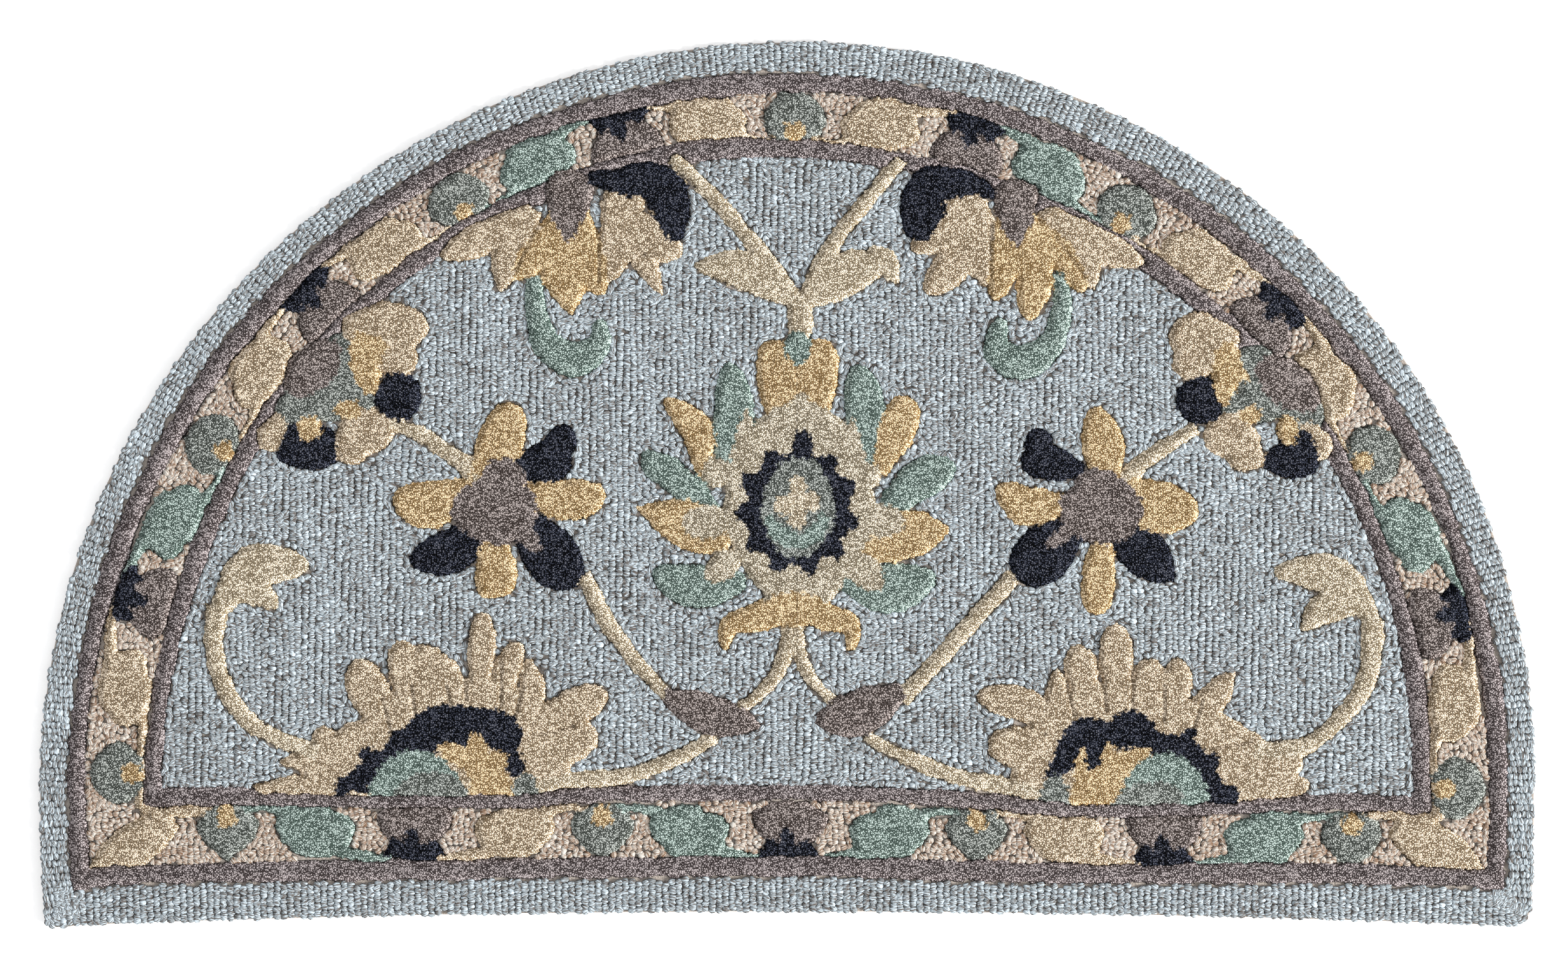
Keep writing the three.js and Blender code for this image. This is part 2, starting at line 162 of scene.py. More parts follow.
# The photograph's frame: what it spans at the rug, and how far its middle lies from the rug's.
PHOTO_WIDE = 1170.3
PHOTO_X = -2.1
PHOTO_Y = 2.1
CAMERA_HIGH = 3200
SENSOR_WIDE = 36

# The room: how bright it is, and half the floor's width.
ROOM_LIGHT = 0.86
FLOOR_HALF = 6000


def table(text):
    """Rows with named columns, from lines of words and numbers under one heading line."""
    lines = [line.split() for line in text.strip().splitlines()]

    def value(word):
        return float(word) if word.lstrip("-").replace(".", "").isdigit() else word

    return [dict(zip(lines[0], map(value, words))) for words in lines[1:]]


# The lights, with their places and sizes in metres and their power in watts.
LIGHTS = table("""
light    x     y    z  size  power  red  green  blue
key    7.8  -2.2  4.7   2.6   2050    1   .985   .96
fill  -1.6   1.2  3.6   3.0     50  .95    .97     1
""")

# The cut wools' base colours, fitted so that each wool's mean in the render comes near the photograph's.
WOOLS = table("""
wool    red green blue
stripe  109   102  102
mauve   110   102   99
tan     161   148  130
core    158   150  135
cream   165   155  138
gold    163   144  114
sage    119   132  127
slate   113   117  113
navy     21    26   38
""")

# The shades of the loops' yarn, from its darkest strands to its brightest.
LOOP_SHADES = table("""
wool             share  red green blue
blue_grey_loops      0   76    70   66
blue_grey_loops    0.3  109   111  113
blue_grey_loops    0.6  132   142  147
blue_grey_loops      1  173   183  191
cream_loops          0   98    76   60
cream_loops        0.3  132   115  102
cream_loops        0.6  151   142  133
cream_loops          1  177   174  168
""")

# The painted sheen added to the colour of the yarn tips, and the painted glints added to a few tips, as
# light.
PAINTED_SHEEN = (0.020, 0.020, 0.024, 1.0)
PAINTED_GLINT = (0.11, 0.105, 0.10, 1.0)

# The yarn tips of the cut pile, their clumps and the mottling over them, and how far painted shade darkens
# the wool in the gaps between tufts and painted light brightens it at the tips.
TIP_WIDE = 1.3
CLUMP_LONG = 4
MOTTLE_LONG = 14
GAP_SHADE_GAMMA = 1.8
GAP_SHADE_SHARE = 0.72
TIP_LIGHT_SHARE = 1.82

# Corner points of the rug, between its straight sides and its base.
CORNERS = table("""
side      x      y
left   -558.5 -262
left   -557   -300
left   -555   -325
left   -551   -331
left   -541   -331.3
right   541   -330.3
right   550   -328
right   556   -321
right   558   -306
right   559.2 -262
""")

# Each petal or patch of colour runs from its root to its tip. `wide` is its greatest width, `fat` the share
# of its length at which it has it, `bow` how far its middle bends to the left, and `sharp` how pointed its
# tip is, 0.5 being round. The later rows lie over the earlier ones.
PALMETTE = table("""
wool  root_x root_y tip_x tip_y wide fat  bow  sharp
cream     10    100    10   142   20  .50    0  .30
sage     -45      6   -42    92   31  .50   -4  .55
sage      60      4    53    91   32  .55   -3  .50
gold     -62      8   -91    65   26  .50  -10  .60
gold      69      8    91    66   28  .66   -1  .35
sage     -52    -20  -109    23   25  .62   -1  .40
sage      70    -24   125    17   31  .62    5  .50
gold     -42    -44  -112   -17   37  .40   -2  1.0
gold      52    -48   122   -33   40  .45    3  .80
sage     -30    -73  -101   -67   34  .50    6  .50
sage      38    -70   112   -70   36  .50   -8  .50
gold       0     30   -10   109   32  .65    0  .30
gold      16     30    26   109   32  .65    0  .30
core       9    -92    10    62  114  .50    0  .50
cream      8    137   -70   164   31  .52   -9  .90
cream     10    136    75   168   34  .52    5  .60
cream     60    176    84   150   20  .40    3  .80
mauve    -92   -157   -19  -181   31  .50   -3  .80
mauve     87   -154    21  -178   36  .52    4  .80
core     -40      6   -64    12   24  .50    0  .50
core      42      4    70     8   24  .50    0  .50
core     -33     -5   -30    57   20  .30    0  1.0
core      46     -5    49    50   22  .30    0  1.0
core      10     35    12    69   34  .30    0  .90
core     -40    -26   -79   -30   26  .50    0  .50
core      50    -24    88   -29   26  .50    0  .50
core     -36    -50   -60   -71   22  .40    0  .60
core      48    -52    70   -78   24  .40    0  .60
sage       8    114     8    88   22  .30    0  .80
""")

# The palmette's heart: over a navy ring with teeth lie a slate egg and a small cream flower.
RING = {"x": 8, "y": -18, "wide": 84, "tall": 90, "teeth": 11, "tooth": 5, "turn": 82}
HEART = table("""
wool  root_x root_y tip_x tip_y wide fat  bow  sharp
navy      12     16    12    43   17  .30    0  .90
slate      7    -54    10    21   56  .45    0  .50
cream      8     -8     8     6   13  .50    0  .50
cream     -3    -22    -3    -8   15  .50    0  .50
cream     18    -19    18    -5   14  .50    0  .50
cream      7    -33     7   -19   14  .50    0  .50
cream      8    -23     8    -5   18  .50    0  .50
""")

ROSETTES = table("""
wool   root_x root_y tip_x tip_y wide  fat bow sharp
navy     -204     13  -160    20   33  .60  -1   .50
navy     -178     12  -163    44   24  .60   0   .50
navy     -200    -22  -157   -76   42  .60  -1   .55
navy     -226    -34  -282   -58   34  .45   5   .60
gold     -230      6  -204    63   36  .50  -4   .50
gold     -200     -6  -135    -9   31  .66  -4   .50
gold     -220    -34  -219   -85   32  .70   2   .30
gold     -232      0  -295   -15   36  .62   7   .45
navy      222     10   174    20   27  .60  -1   .50
navy      192     12   187    43   22  .50   0   .50
navy      218    -28   171   -71   42  .58   0   .50
navy      244    -30   289   -71   35  .50   0   .70
gold      241      2   230    59   33  .40  -1   .60
gold      214    -12   155    -3   31  .60   9   .60
gold      236    -34   231   -97   27  .66   0   .45
gold      242     -5   308   -22   40  .54  -2   .55
mauve    -250    -18  -186   -20   52  .50   0   .45
mauve    -212    -20  -212    20   34  .60   0   .40
mauve    -200    -30  -184   -50   14  .40   0   .60
mauve     204    -18   266   -20   52  .50   0   .45
mauve     232    -20   232    12   34  .60   0   .40
mauve     215    -32   194   -46   12  .40   0   .60
""")

HALF_PALMETTES = table("""
wool   root_x root_y tip_x tip_y wide  fat bow sharp
tan      -246   -237  -250  -144  172  .12   0   .38
tan      -262   -212  -350  -200   54  .55  -4   .60
tan      -288   -222  -401  -225   24  .45   4   .80
tan      -310   -210  -381  -207   22  .50   0   1.0
tan      -335   -205  -351  -182   20  .60   0   .45
tan      -292   -185  -324  -131   32  .60   2   .50
tan      -276   -175  -289  -117   29  .62   0   .45
tan      -240   -158  -276  -120   31  .50   4   .60
tan      -231   -170  -227   -95   22  .72   0   .40
tan      -218   -165  -201  -117   21  .60   0   .35
tan      -190   -175  -191  -130   21  .35   0   .60
tan      -195   -182  -133  -154   30  .60   0   .50
tan      -200   -200  -140  -186   34  .55   0   .55
tan       250   -243   252  -146  168  .12   0   .38
tan       285   -205   346  -184   48  .50   0   .80
tan       320   -215   386  -205   30  .70   0   .40
tan       300   -226   392  -225   26  .60   0   .50
tan       340   -205   354  -187   22  .60   0   .45
tan       295   -190   334  -140   25  .45   0   .60
tan       292   -175   292  -129   23  .62   0   .45
tan       270   -175   271  -129   26  .60   0   .45
tan       247   -170   245  -104   27  .68   0   .45
tan       224   -165   217  -119   25  .60   0   .50
tan       202   -178   202  -137   19  .35   0   .55
tan       208   -180   141  -157   26  .55  -5   .50
tan       208   -200   149  -193   33  .60   0   .50
""")

HALF_PALMETTE_HEARTS = table("""
wool  root_x root_y tip_x tip_y wide fat  bow  sharp
navy    -266   -192  -297  -186   13  .60    0  .35
navy    -296   -214  -318  -199   13  .60    0  .35
navy    -310   -230  -333  -218   10  .60    0  .35
sage    -277   -238  -278  -198   70  .12    0  .50
slate   -266   -238  -268  -214   58  .12    0  .50
gold    -232   -222  -232  -181   22  .45    0  1.2
gold    -226   -210  -260  -195   16  .55    0  .70
gold    -228   -214  -208  -202   16  .60    0  .60
gold    -219   -238  -224  -206   34  .12    0  .50
slate   -196   -237  -195  -214   20  .12    0  .50
slate    200   -243   200  -216   24  .12    0  .50
gold     220   -228   221  -194   13  .45    0  1.0
gold     232   -243   232  -206   42  .12    0  .45
gold     230   -222   272  -198   20  .50    0  .60
gold     238   -216   240  -192   12  .50    0  .90
navy     234   -190   225  -214   13  .40    0  .90
navy     286   -201   305  -182   12  .60    0  .35
navy     301   -215   323  -204   14  .60    0  .35
sage     282   -243   284  -200   66  .12    0  .50
slate    270   -243   266  -222   58  .12    0  .50
""")

SCROLLS = table("""
wool   root_x root_y tip_x tip_y wide  fat bow sharp
cream    -430   -100  -356   -58   34  .60  18   .50
cream    -426    -84  -379   -91   24  .55  10   .60
cream     442   -106   364   -63   31  .60 -17   .55
cream     430    -92   383  -108   25  .50  -9   .70
""")

LOTUSES = table("""
wool   root_x root_y tip_x tip_y wide  fat bow sharp
tan      -190    206  -259   170   25  .55   2   .55
tan      -188    206  -215   143   30  .42  -4   .80
tan      -122    224  -124   162   34  .15   0   .50
tan      -127    222  -134   151   27  .60   3   .45
tan      -124    200   -92   141   22  .35  -1   1.0
tan      -124    206   -78   171   32  .50  -4   .60
gold     -168    214  -161   126   38  .50  -3   .90
gold     -154    208  -138   141   27  .55  -5   .60
gold     -168    205  -204   153   24  .55   4   .70
tan       128    222   138   172   34  .20   0   .50
tan       136    222   149   147   34  .50   0   .80
tan       142    200   104   142   29  .50   5   .50
tan       135    202    92   175   30  .50   0   .80
tan       192    206   231   146   34  .55   4   .70
tan       191    203   267   165   27  .50  -3   .60
gold      163    212   156   137   24  .60   5   .50
gold      180    205   181   122   27  .65   6   .50
gold      184    196   223   143   19  .50   3   .50
mauve    -162    234  -164   180   37  .15   0   .95
mauve     171    228   171   177   34  .15   0   .90
""")

SIDE_FLOWERS = table("""
wool   root_x root_y tip_x tip_y wide  fat bow sharp
slate    -352     56  -323   112   40  .60   0   .50
slate    -368     62  -306    64   32  .50   0   .50
slate    -352     66  -380    48   30  .60   0   .50
tan      -332    116  -268   117   38  .55   2   .45
tan      -316    104  -276    90   30  .60   0   .45
tan      -334     46  -294    36   34  .58   0   .50
tan      -326     52  -324    15   28  .60   0   .45
tan      -378     52  -390    26   22  .60   0   .50
navy     -308     66  -273    66   36  .50   0   .45
navy     -381     24  -335    23   26  .50   0   .40
navy     -370     24  -368    47   16  .40   0   .60
navy     -345     24  -344    43   14  .40   0   .60
slate     366     54   342   104   36  .60   0   .50
slate     376     62   324    56   28  .50   0   .50
slate     362     62   402    48   32  .60   0   .50
tan       338    106   285   112   35  .60  -2   .45
tan       326     96   288    89   28  .60   0   .50
tan       334     54   348    10   30  .62  -2   .35
tan       336     52   320    23   32  .60   0   .45
tan       388     46   404    20   20  .60   0   .50
navy      291     66   327    60   36  .45   0   .45
navy      357     18   398    20   30  .50   0   .40
navy      385     20   386    41   16  .40   0   .60
mauve    -372     68  -336   106   34  .50   0   .50
gold     -318    114  -311    67   24  .40   0   .60
gold     -322    108  -298   101   15  .50   0   .50
gold     -338     57  -317    55   15  .50   0   .40
gold     -366     42  -347    42   18  .50   0   .40
mauve     396     58   352    92   34  .50   0   .50
gold      330    107   326    59   22  .40   0   .60
gold      332     84   345    79   10  .50   0   .60
gold      338     52   354    52   15  .50   0   .40
gold      374     30   374    52   18  .50   0   .40
""")

# The leaves of the border's two lower corners.
CORNER_LEAVES = table("""
wool   root_x root_y tip_x tip_y wide  fat bow sharp
tan      -457   -251  -522  -289   33  .42   0   .80
tan       452   -256   522  -290   37  .42   0   .80
""")

# Stems and other long shapes: one row for each section, in order along the shape.
TAILS = table("""
stem        wool     x    y  wide
tailleft    cream  -54 -189    9
tailleft    cream  -82 -204   12
tailleft    cream -120 -217   12
tailleft    cream -160 -222   14
tailleft    cream -198 -232   10
tailright   cream   58 -188    9
tailright   cream   90 -204   12
tailright   cream  124 -217   12
tailright   cream  156 -223   13
tailright   cream  194 -235   12
arcleft     navy  -338 -230    7
arcleft     navy  -324 -222   15
arcleft     navy  -306 -210   20
arcleft     navy  -286 -197   22
arcleft     navy  -262 -182   34
arcleft     navy  -235 -181   30
arcleft     navy  -212 -184   28
arcleft     navy  -208 -200   17
arcleft     navy  -199 -215   12
arcright    navy   197 -221   11
arcright    navy   208 -203   18
arcright    navy   222 -186   26
arcright    navy   240 -187   20
arcright    navy   258 -183   30
arcright    navy   276 -193   17
arcright    navy   296 -197   20
arcright    navy   308 -210   20
arcright    navy   316 -228   22
arcright    navy   338 -232    9
""")

STEMS = table("""
stem        wool     x    y  wide
neck        cream   10  142   26
neck        cream    9  128   17
neck        cream    9  108   18
topleft     cream    4  140   14
topleft     cream  -12  165   13
topleft     cream  -33  190   12
topleft     cream  -60  220   12
topleft     cream  -87  245   10
topright    cream   14  138   14
topright    cream   27  168   13
topright    cream   50  201   12
topright    cream   86  243   11
stemleft    cream    7  -98   14
stemleft    cream   -1 -126   13
stemleft    cream  -14 -150   11
stemleft    cream  -38 -169   10
stemright   cream    6  -98   12
stemright   cream   12 -132   11
stemright   cream   26 -155   10
stemright   cream   47 -167    8
armleft     cream  -86 -159   12
armleft     cream -112 -133   12
armleft     cream -136 -100   13
armleft     cream -152  -66   12
armright    cream   86 -160   14
armright    cream  114 -130   13
armright    cream  142  -98   14
armright    cream  170  -68   14
hubleft     cream -228    4   20
hubleft     cream -248   21   14
hubleft     cream -272   36   13
hubleft     cream -297   49    9
hubright    cream  250   -2   18
hubright    cream  263   14   13
hubright    cream  284   29   12
hubright    cream  307   43    9
scrollleft  cream -350 -200   12
scrollleft  cream -380 -190   13
scrollleft  cream -403 -176   13
scrollleft  cream -419 -154   14
scrollleft  cream -428 -122   15
scrollleft  cream -426  -90   18
scrollright cream  350 -197   12
scrollright cream  384 -196   14
scrollright cream  405 -183   13
scrollright cream  425 -161   14
scrollright cream  436 -136   16
scrollright cream  438 -100   18
hookleft    sage  -188  158   14
hookleft    sage  -188  134   15
hookleft    sage  -180  106   22
hookleft    sage  -160   94   28
hookleft    sage  -141  104   20
hookleft    sage  -140  119   11
hookleft    sage  -139  124    5
hookright   sage   203  158    8
hookright   sage   206  134   14
hookright   sage   197  104   20
hookright   sage   174   91   27
hookright   sage   157  102   22
hookright   sage   159  121   11
hookright   sage   160  126    5
""")

OVERLAYS = table("""
stem        wool     x    y  wide
skirt       gold   -46 -124    6
skirt       gold   -43 -106   16
skirt       gold   -22  -99   22
skirt       gold     6  -92   25
skirt       gold    34 -100   20
skirt       gold    48 -106   16
skirt       gold    48 -124    7
capleft     navy  -148  230    9
capleft     navy  -126  227   20
capleft     navy   -98  226   30
capleft     navy   -86  206   30
capleft     navy   -83  182    9
capright    navy   155  215    6
capright    navy   138  224   16
capright    navy   110  224   30
capright    navy   101  205   34
capright    navy    98  183   16
""")

CRESCENT = table("""
stem        wool     x    y  wide
crescent    sage   -15  -24    6
crescent    sage    -6  -36   12
crescent    sage     8  -42   12
crescent    sage    22  -36   11
crescent    sage    29  -22    6
""")

CORNER_STEMS = table("""
stem        wool     x    y  wide
cornerleft  tan   -408 -243    6
cornerleft  tan   -440 -244    8
cornerleft  tan   -484 -243    8
sideleft    tan   -482 -205    6
sideleft    tan   -482 -226    8
sideleft    tan   -483 -243    8
cornerright tan    430 -245    7
cornerright tan    456 -247   10
cornerright tan    486 -248    9
sideright   tan    484 -208    6
sideright   tan    486 -226    8
sideright   tan    486 -250    9
""")

# How far the middles of the two guard stripes lie from the edge at each angle of the arch.
ARCH_STRIPES = table("""
deg  outer inner
180    28    86
160    28    85
140    27    79
120    27    75
100    30    76
80     32    83
50     32    85
35     30    82
20     29    84
0      28    85
""")

# The straight stretches of the guard stripes.
BASE_STRIPES = table("""
stem       wool       x    y  wide
outerleft  stripe  -531 -226   13.5
outerleft  stripe  -529 -262   13.5
outerleft  stripe  -528 -296   13.5
outerbase  stripe  -534 -296   14
outerbase  stripe  -480 -291   14
outerbase  stripe  -300 -288   15
outerbase  stripe     0 -285   15
outerbase  stripe   120 -288   15
outerbase  stripe   250 -291   14
outerbase  stripe   400 -290   15
outerbase  stripe   537 -295   13.5
outerright stripe   532 -226   13.5
outerright stripe   531 -262   13.5
outerright stripe   530 -300   13.5
innerleft  stripe  -473 -226   13.5
innerleft  stripe  -473 -239   13.5
innerbase  stripe  -479 -233   14
innerbase  stripe  -405 -233   14
innerbase  stripe  -380 -236    9
innerbase  stripe  -205 -237   10
innerbase  stripe  -160 -232   12
innerbase  stripe   -60 -230   12
innerbase  stripe    60 -231   12
innerbase  stripe   150 -236   12
innerbase  stripe   215 -243    9
innerbase  stripe   330 -242    9
innerbase  stripe   385 -238   11
innerbase  stripe   430 -237   14
innerbase  stripe   481 -240   12
innerright stripe   475 -226   13.5
innerright stripe   475 -245   13.5
""")

# One bud, flower and leaf of the border, in millimetres along it and out from its middle, and the wools of
# the two leaves that follow each bud.
BUD = table("""
wool  root_x root_y tip_x tip_y wide fat bow sharp
slate      0    -21     0    19   48  .40   0   .60
gold       0    -21     0    -5   16  .55   0   .40
""")
BASE_BUD = table("""
wool  root_x root_y tip_x tip_y wide fat bow sharp
slate      0    -21     0    21   48  .34   0   1.2
gold       0    -21     0    -5   16  .55   0   .40
""")
FLOWER = table("""
wool  root_x root_y tip_x tip_y wide fat bow sharp
mauve      0    -23     0    12   57  .22   0   .55
navy     -22     14    22    14   14  .50   0   .50
navy      -2     16    -2    -5   13  .45   0   .70
navy     -13     15   -15     3   10  .50   0   .60
navy      12     15    13     4    9  .50   0   .60
""")
LEAF = table("""
stem   x    y  wide
stem   8  -18    5
stem  34  -18    7
stem  52  -10   16
body  37    1   10
body  45   -2   31
body  61   -2   40
body  78   -2   37
body  87   -6   24
body  93  -10    9
tip   70    6   18
tip   90   14   10
tip  122   19    5
""")
ARCH_LEAVES = (("tan", "sage"), ("tan", "tan"), ("sage", "tan")) * 2
BASE_LEAVES = (("sage", "tan"), ("sage", "sage"), ("tan", "sage"))

# The carved creases, from end to end.
CREASES = table("""
from_x from_y  to_x  to_y
-141      207  -141   152
-188      192  -203   160
-182      203  -188   190
-117      177  -107   172
152       210   152   146
200       184   222   155
-303     -160  -296  -186
-281     -150  -278  -176
-255     -150  -250  -172
-243     -125  -240  -160
-214     -132  -214  -165
-198     -152  -203  -172
-160     -180  -190  -186
310      -160   302  -186
281      -150   281  -176
259      -140   257  -168
235      -140   238  -168
208      -150   214  -172
160      -182   192  -186
346      -191   311  -197
""")


def spline(points, steps):
    """Smooth points through rows of numbers, `steps` to a stretch, with both ends kept."""
    rows = np.array(points, float)
    padded = np.vstack((rows[:1], rows, rows[-1:]))
    t = (np.arange(steps) / steps)[:, None]
    out = []
    for a, b, c, d in zip(padded, padded[1:], padded[2:], padded[3:]):
        bend = (2 * a - 5 * b + 4 * c - d) * t ** 2 + (3 * b - a - 3 * c + d) * t ** 3
        out.append((2 * b + (c - a) * t + bend) / 2)
    return np.vstack(out + [rows[-1:]])


def two_sides(middle, left, half, bow=0.0):
    """The two sides of an outline, half a width to each side of a line of points, the left one reversed."""
    right_side = middle + left * (bow - half)[:, None]
    left_side = middle + left * (bow + half)[:, None]
    return right_side, left_side[::-1]


def petal(row):
    """The outline of one petal, from its root along both sides to its tip."""
    root = np.array((row["root_x"], row["root_y"]))
    tip = np.array((row["tip_x"], row["tip_y"]))
    way = tip - root
    left = np.array((-way[1], way[0])) / np.hypot(*way)
    t = (1 - np.cos(np.pi * np.arange(PETAL_STEPS) / PETAL_STEPS)) / 2
    swelling = ROOT_SHARE + (1 - ROOT_SHARE) * np.sin(np.pi / 2 * t / row["fat"])
    tapering = (1 - np.clip((t - row["fat"]) / (1 - row["fat"]), 0, 1) ** 2) ** row["sharp"]
    half = np.where(t < row["fat"], swelling, tapering) * row["wide"] / 2
    right_side, left_side = two_sides(root + t[:, None] * way, left, half, row["bow"] * np.sin(np.pi * t))
    return np.vstack((right_side, tip, left_side))


def stroke(rows, steps=STEM_STEPS):
    """The outline of a stem: half its width to each side of a smooth line through its rows."""
    line = spline([(row["x"], row["y"], row["wide"]) for row in rows], steps)
    way = np.gradient(line[:, :2], axis=0)
    left = np.stack((-way[:, 1], way[:, 0]), axis=1) / np.hypot(way[:, :1], way[:, 1:])
    return np.vstack(two_sides(line[:, :2], left, line[:, 2] / 2))


def toothed_ring(x, y, wide, tall, teeth, tooth, turn):
    """An egg-shaped outline with a tooth at each of so many even turns: two points out and two points in."""
    k = np.arange(teeth * 4)
    a = math.radians(turn) + 2 * np.pi * k / len(k)
    out_by = tooth * np.array((1, 1, -0.6, -0.6))[k % 4]
    return np.stack((x + (wide / 2 + out_by) * np.cos(a), y + (tall / 2 + out_by) * np.sin(a)), axis=1)


def stems(rows):
    """The rows that share a word in the `stem` column, in the order in which the words come."""
    names = dict.fromkeys(row["stem"] for row in rows)
    return [[row for row in rows if row["stem"] == name] for name in names]


def petals_of(rows):
    """The wool and the outline of each row's petal."""
    return [(row["wool"], petal(row)) for row in rows]


def strokes_of(rows):
    """The wool and the outline of each stem."""
    return [(group[0]["wool"], stroke(group)) for group in stems(rows)]


def on_arch(deg, inset):
    """The points that lie so far inside the arch's edge at these angles."""
    a = np.radians(np.asarray(deg, float))
    waves = (np.cos(a), np.sin(a), np.cos(2 * a), np.sin(2 * a))
    radius = ARCH_RADIUS + sum(share * wave for share, wave in zip(ARCH_SWELL, waves)) - inset
    return np.stack((radius * np.cos(a), ARCH_Y + radius * np.sin(a)), axis=-1)


def stripe_inset(which, deg):
    """How far the middle of the outer or inner guard stripe lies from the edge at these angles."""
    rows = spline([(row["deg"], row[which]) for row in ARCH_STRIPES], STEM_STEPS)[::-1]
    return np.interp(deg, rows[:, 0], rows[:, 1])


def base_edge(x):
    """The rug's straight side, which bows a little."""
    return BASE_Y - BASE_BOW * (x / BASE_HALF) ** 2


def base_middle(x):
    """The middle of the straight border, which drops a little to the right."""
    return BORDER_Y - BORDER_DROP * (1 + np.tanh((x - BORDER_DROP_X) / BORDER_DROP_LONG))


def rug_edge():
    """The rug's edge, anticlockwise from the right end of the arch."""
    arch = on_arch(np.arange(0, 181, 1.0), 0)
    corner = {side: [(r["x"], r["y"]) for r in CORNERS if r["side"] == side] for side in ("left", "right")}
    x = np.linspace(-BASE_HALF, BASE_HALF, BASE_POINTS)[1:-1]
    base = np.stack((x, base_edge(x)), axis=1)
    return np.vstack((arch, spline(corner["left"], STEM_STEPS), base, spline(corner["right"], STEM_STEPS)))


def stripe_middle(which):
    """The closed line along the middle of a guard stripe, over the arch and back along the base."""
    deg = np.arange(0, 181, 2.0)
    base = [(row["x"], row["y"]) for row in BASE_STRIPES if row["stem"] == which + "base"]
    return np.vstack((on_arch(deg, stripe_inset(which, deg)), spline(base, STEM_STEPS)))


def arch_place(deg, way):
    """Takes points of one border motif to the arch, centred on an angle, mirrored where way is -1."""
    def place(points):
        turned = deg - way * np.degrees(points[:, 0] / BORDER_RADIUS)
        middle = (stripe_inset("outer", turned) + stripe_inset("inner", turned)) / 2
        return on_arch(turned, middle - points[:, 1])
    return place


def base_place(x, way):
    """Takes points of one border motif to the straight border."""
    def place(points):
        along = x + way * points[:, 0]
        return np.stack((along, base_middle(along) - points[:, 1]), axis=1)
    return place


def border_leaves(places, wools):
    """The leaf after a bud and the mirrored leaf before the next one."""
    return [(wool, place(stroke(rows))) for place, wool in zip(places, wools) for rows in stems(LEAF)]


def border_motifs():
    """The border's leaves, then its flowers, then its buds."""
    leaves, flowers, buds = [], [], []
    for k in range(len(ARCH_LEAVES) + 1):
        deg = FIRST_BUD - k * BUD_TURN
        buds += [(wool, arch_place(deg, 1)(outline)) for wool, outline in petals_of(BUD)]
        if k < len(ARCH_LEAVES):
            leaves += border_leaves((arch_place(deg, 1), arch_place(deg - BUD_TURN, -1)), ARCH_LEAVES[k])
            place = arch_place(deg - FLOWER_SHARE * BUD_TURN, 1)
            flowers += [(wool, place(outline)) for wool, outline in petals_of(FLOWER)]
    for k in range(len(BASE_LEAVES) + 1):
        x = FIRST_BASE_BUD + k * BUD_STEP
        buds += [(wool, base_place(x, 1)(outline)) for wool, outline in petals_of(BASE_BUD)]
        if k < len(BASE_LEAVES):
            leaves += border_leaves((base_place(x, 1), base_place(x + BUD_STEP, -1)), BASE_LEAVES[k])
            place = base_place(x + BUD_STEP / 2, 1)
            flowers += [(wool, place(outline)) for wool, outline in petals_of(FLOWER)]
    return leaves + petals_of(CORNER_LEAVES) + strokes_of(CORNER_STEMS) + flowers + buds


def guard_stripes():
    """Both guard stripes, over the arch and along the base."""
    deg = np.arange(180, -1, -3.0)
    out = []
    for which in ("outer", "inner"):
        line = on_arch(deg, stripe_inset(which, deg))
        wave = np.sin(deg * STRIPE_WAVE) * np.sin(deg * STRIPE_SLOW_WAVE)
        wide = STRIPE_WIDE + STRIPE_UNEVEN * wave
        out.append(("stripe", stroke([{"x": x, "y": y, "wide": w} for (x, y), w in zip(line, wide)], 1)))
    return out + strokes_of(BASE_STRIPES)


def field_motifs():
    """The field's flowers and stems, but for the half palmettes, which the base's stripe cuts off."""
    flowers = petals_of(PALMETTE + ROSETTES + SCROLLS + LOTUSES + SIDE_FLOWERS)
    ring = [("navy", toothed_ring(**RING))]
    heart = petals_of(HEART)
    shapes = strokes_of(STEMS) + flowers + strokes_of(OVERLAYS)
    return shapes + ring + heart[:2] + strokes_of(CRESCENT) + heart[2:]


def blend(grid, column, row, u, v):
    """A value between four cells: the one named, and so much of the next column and the next row."""
    low = grid[row, column] * (1 - u) + grid[row, column + 1] * u
    high = grid[row + 1, column] * (1 - u) + grid[row + 1, column + 1] * u
    return low * (1 - v) + high * v


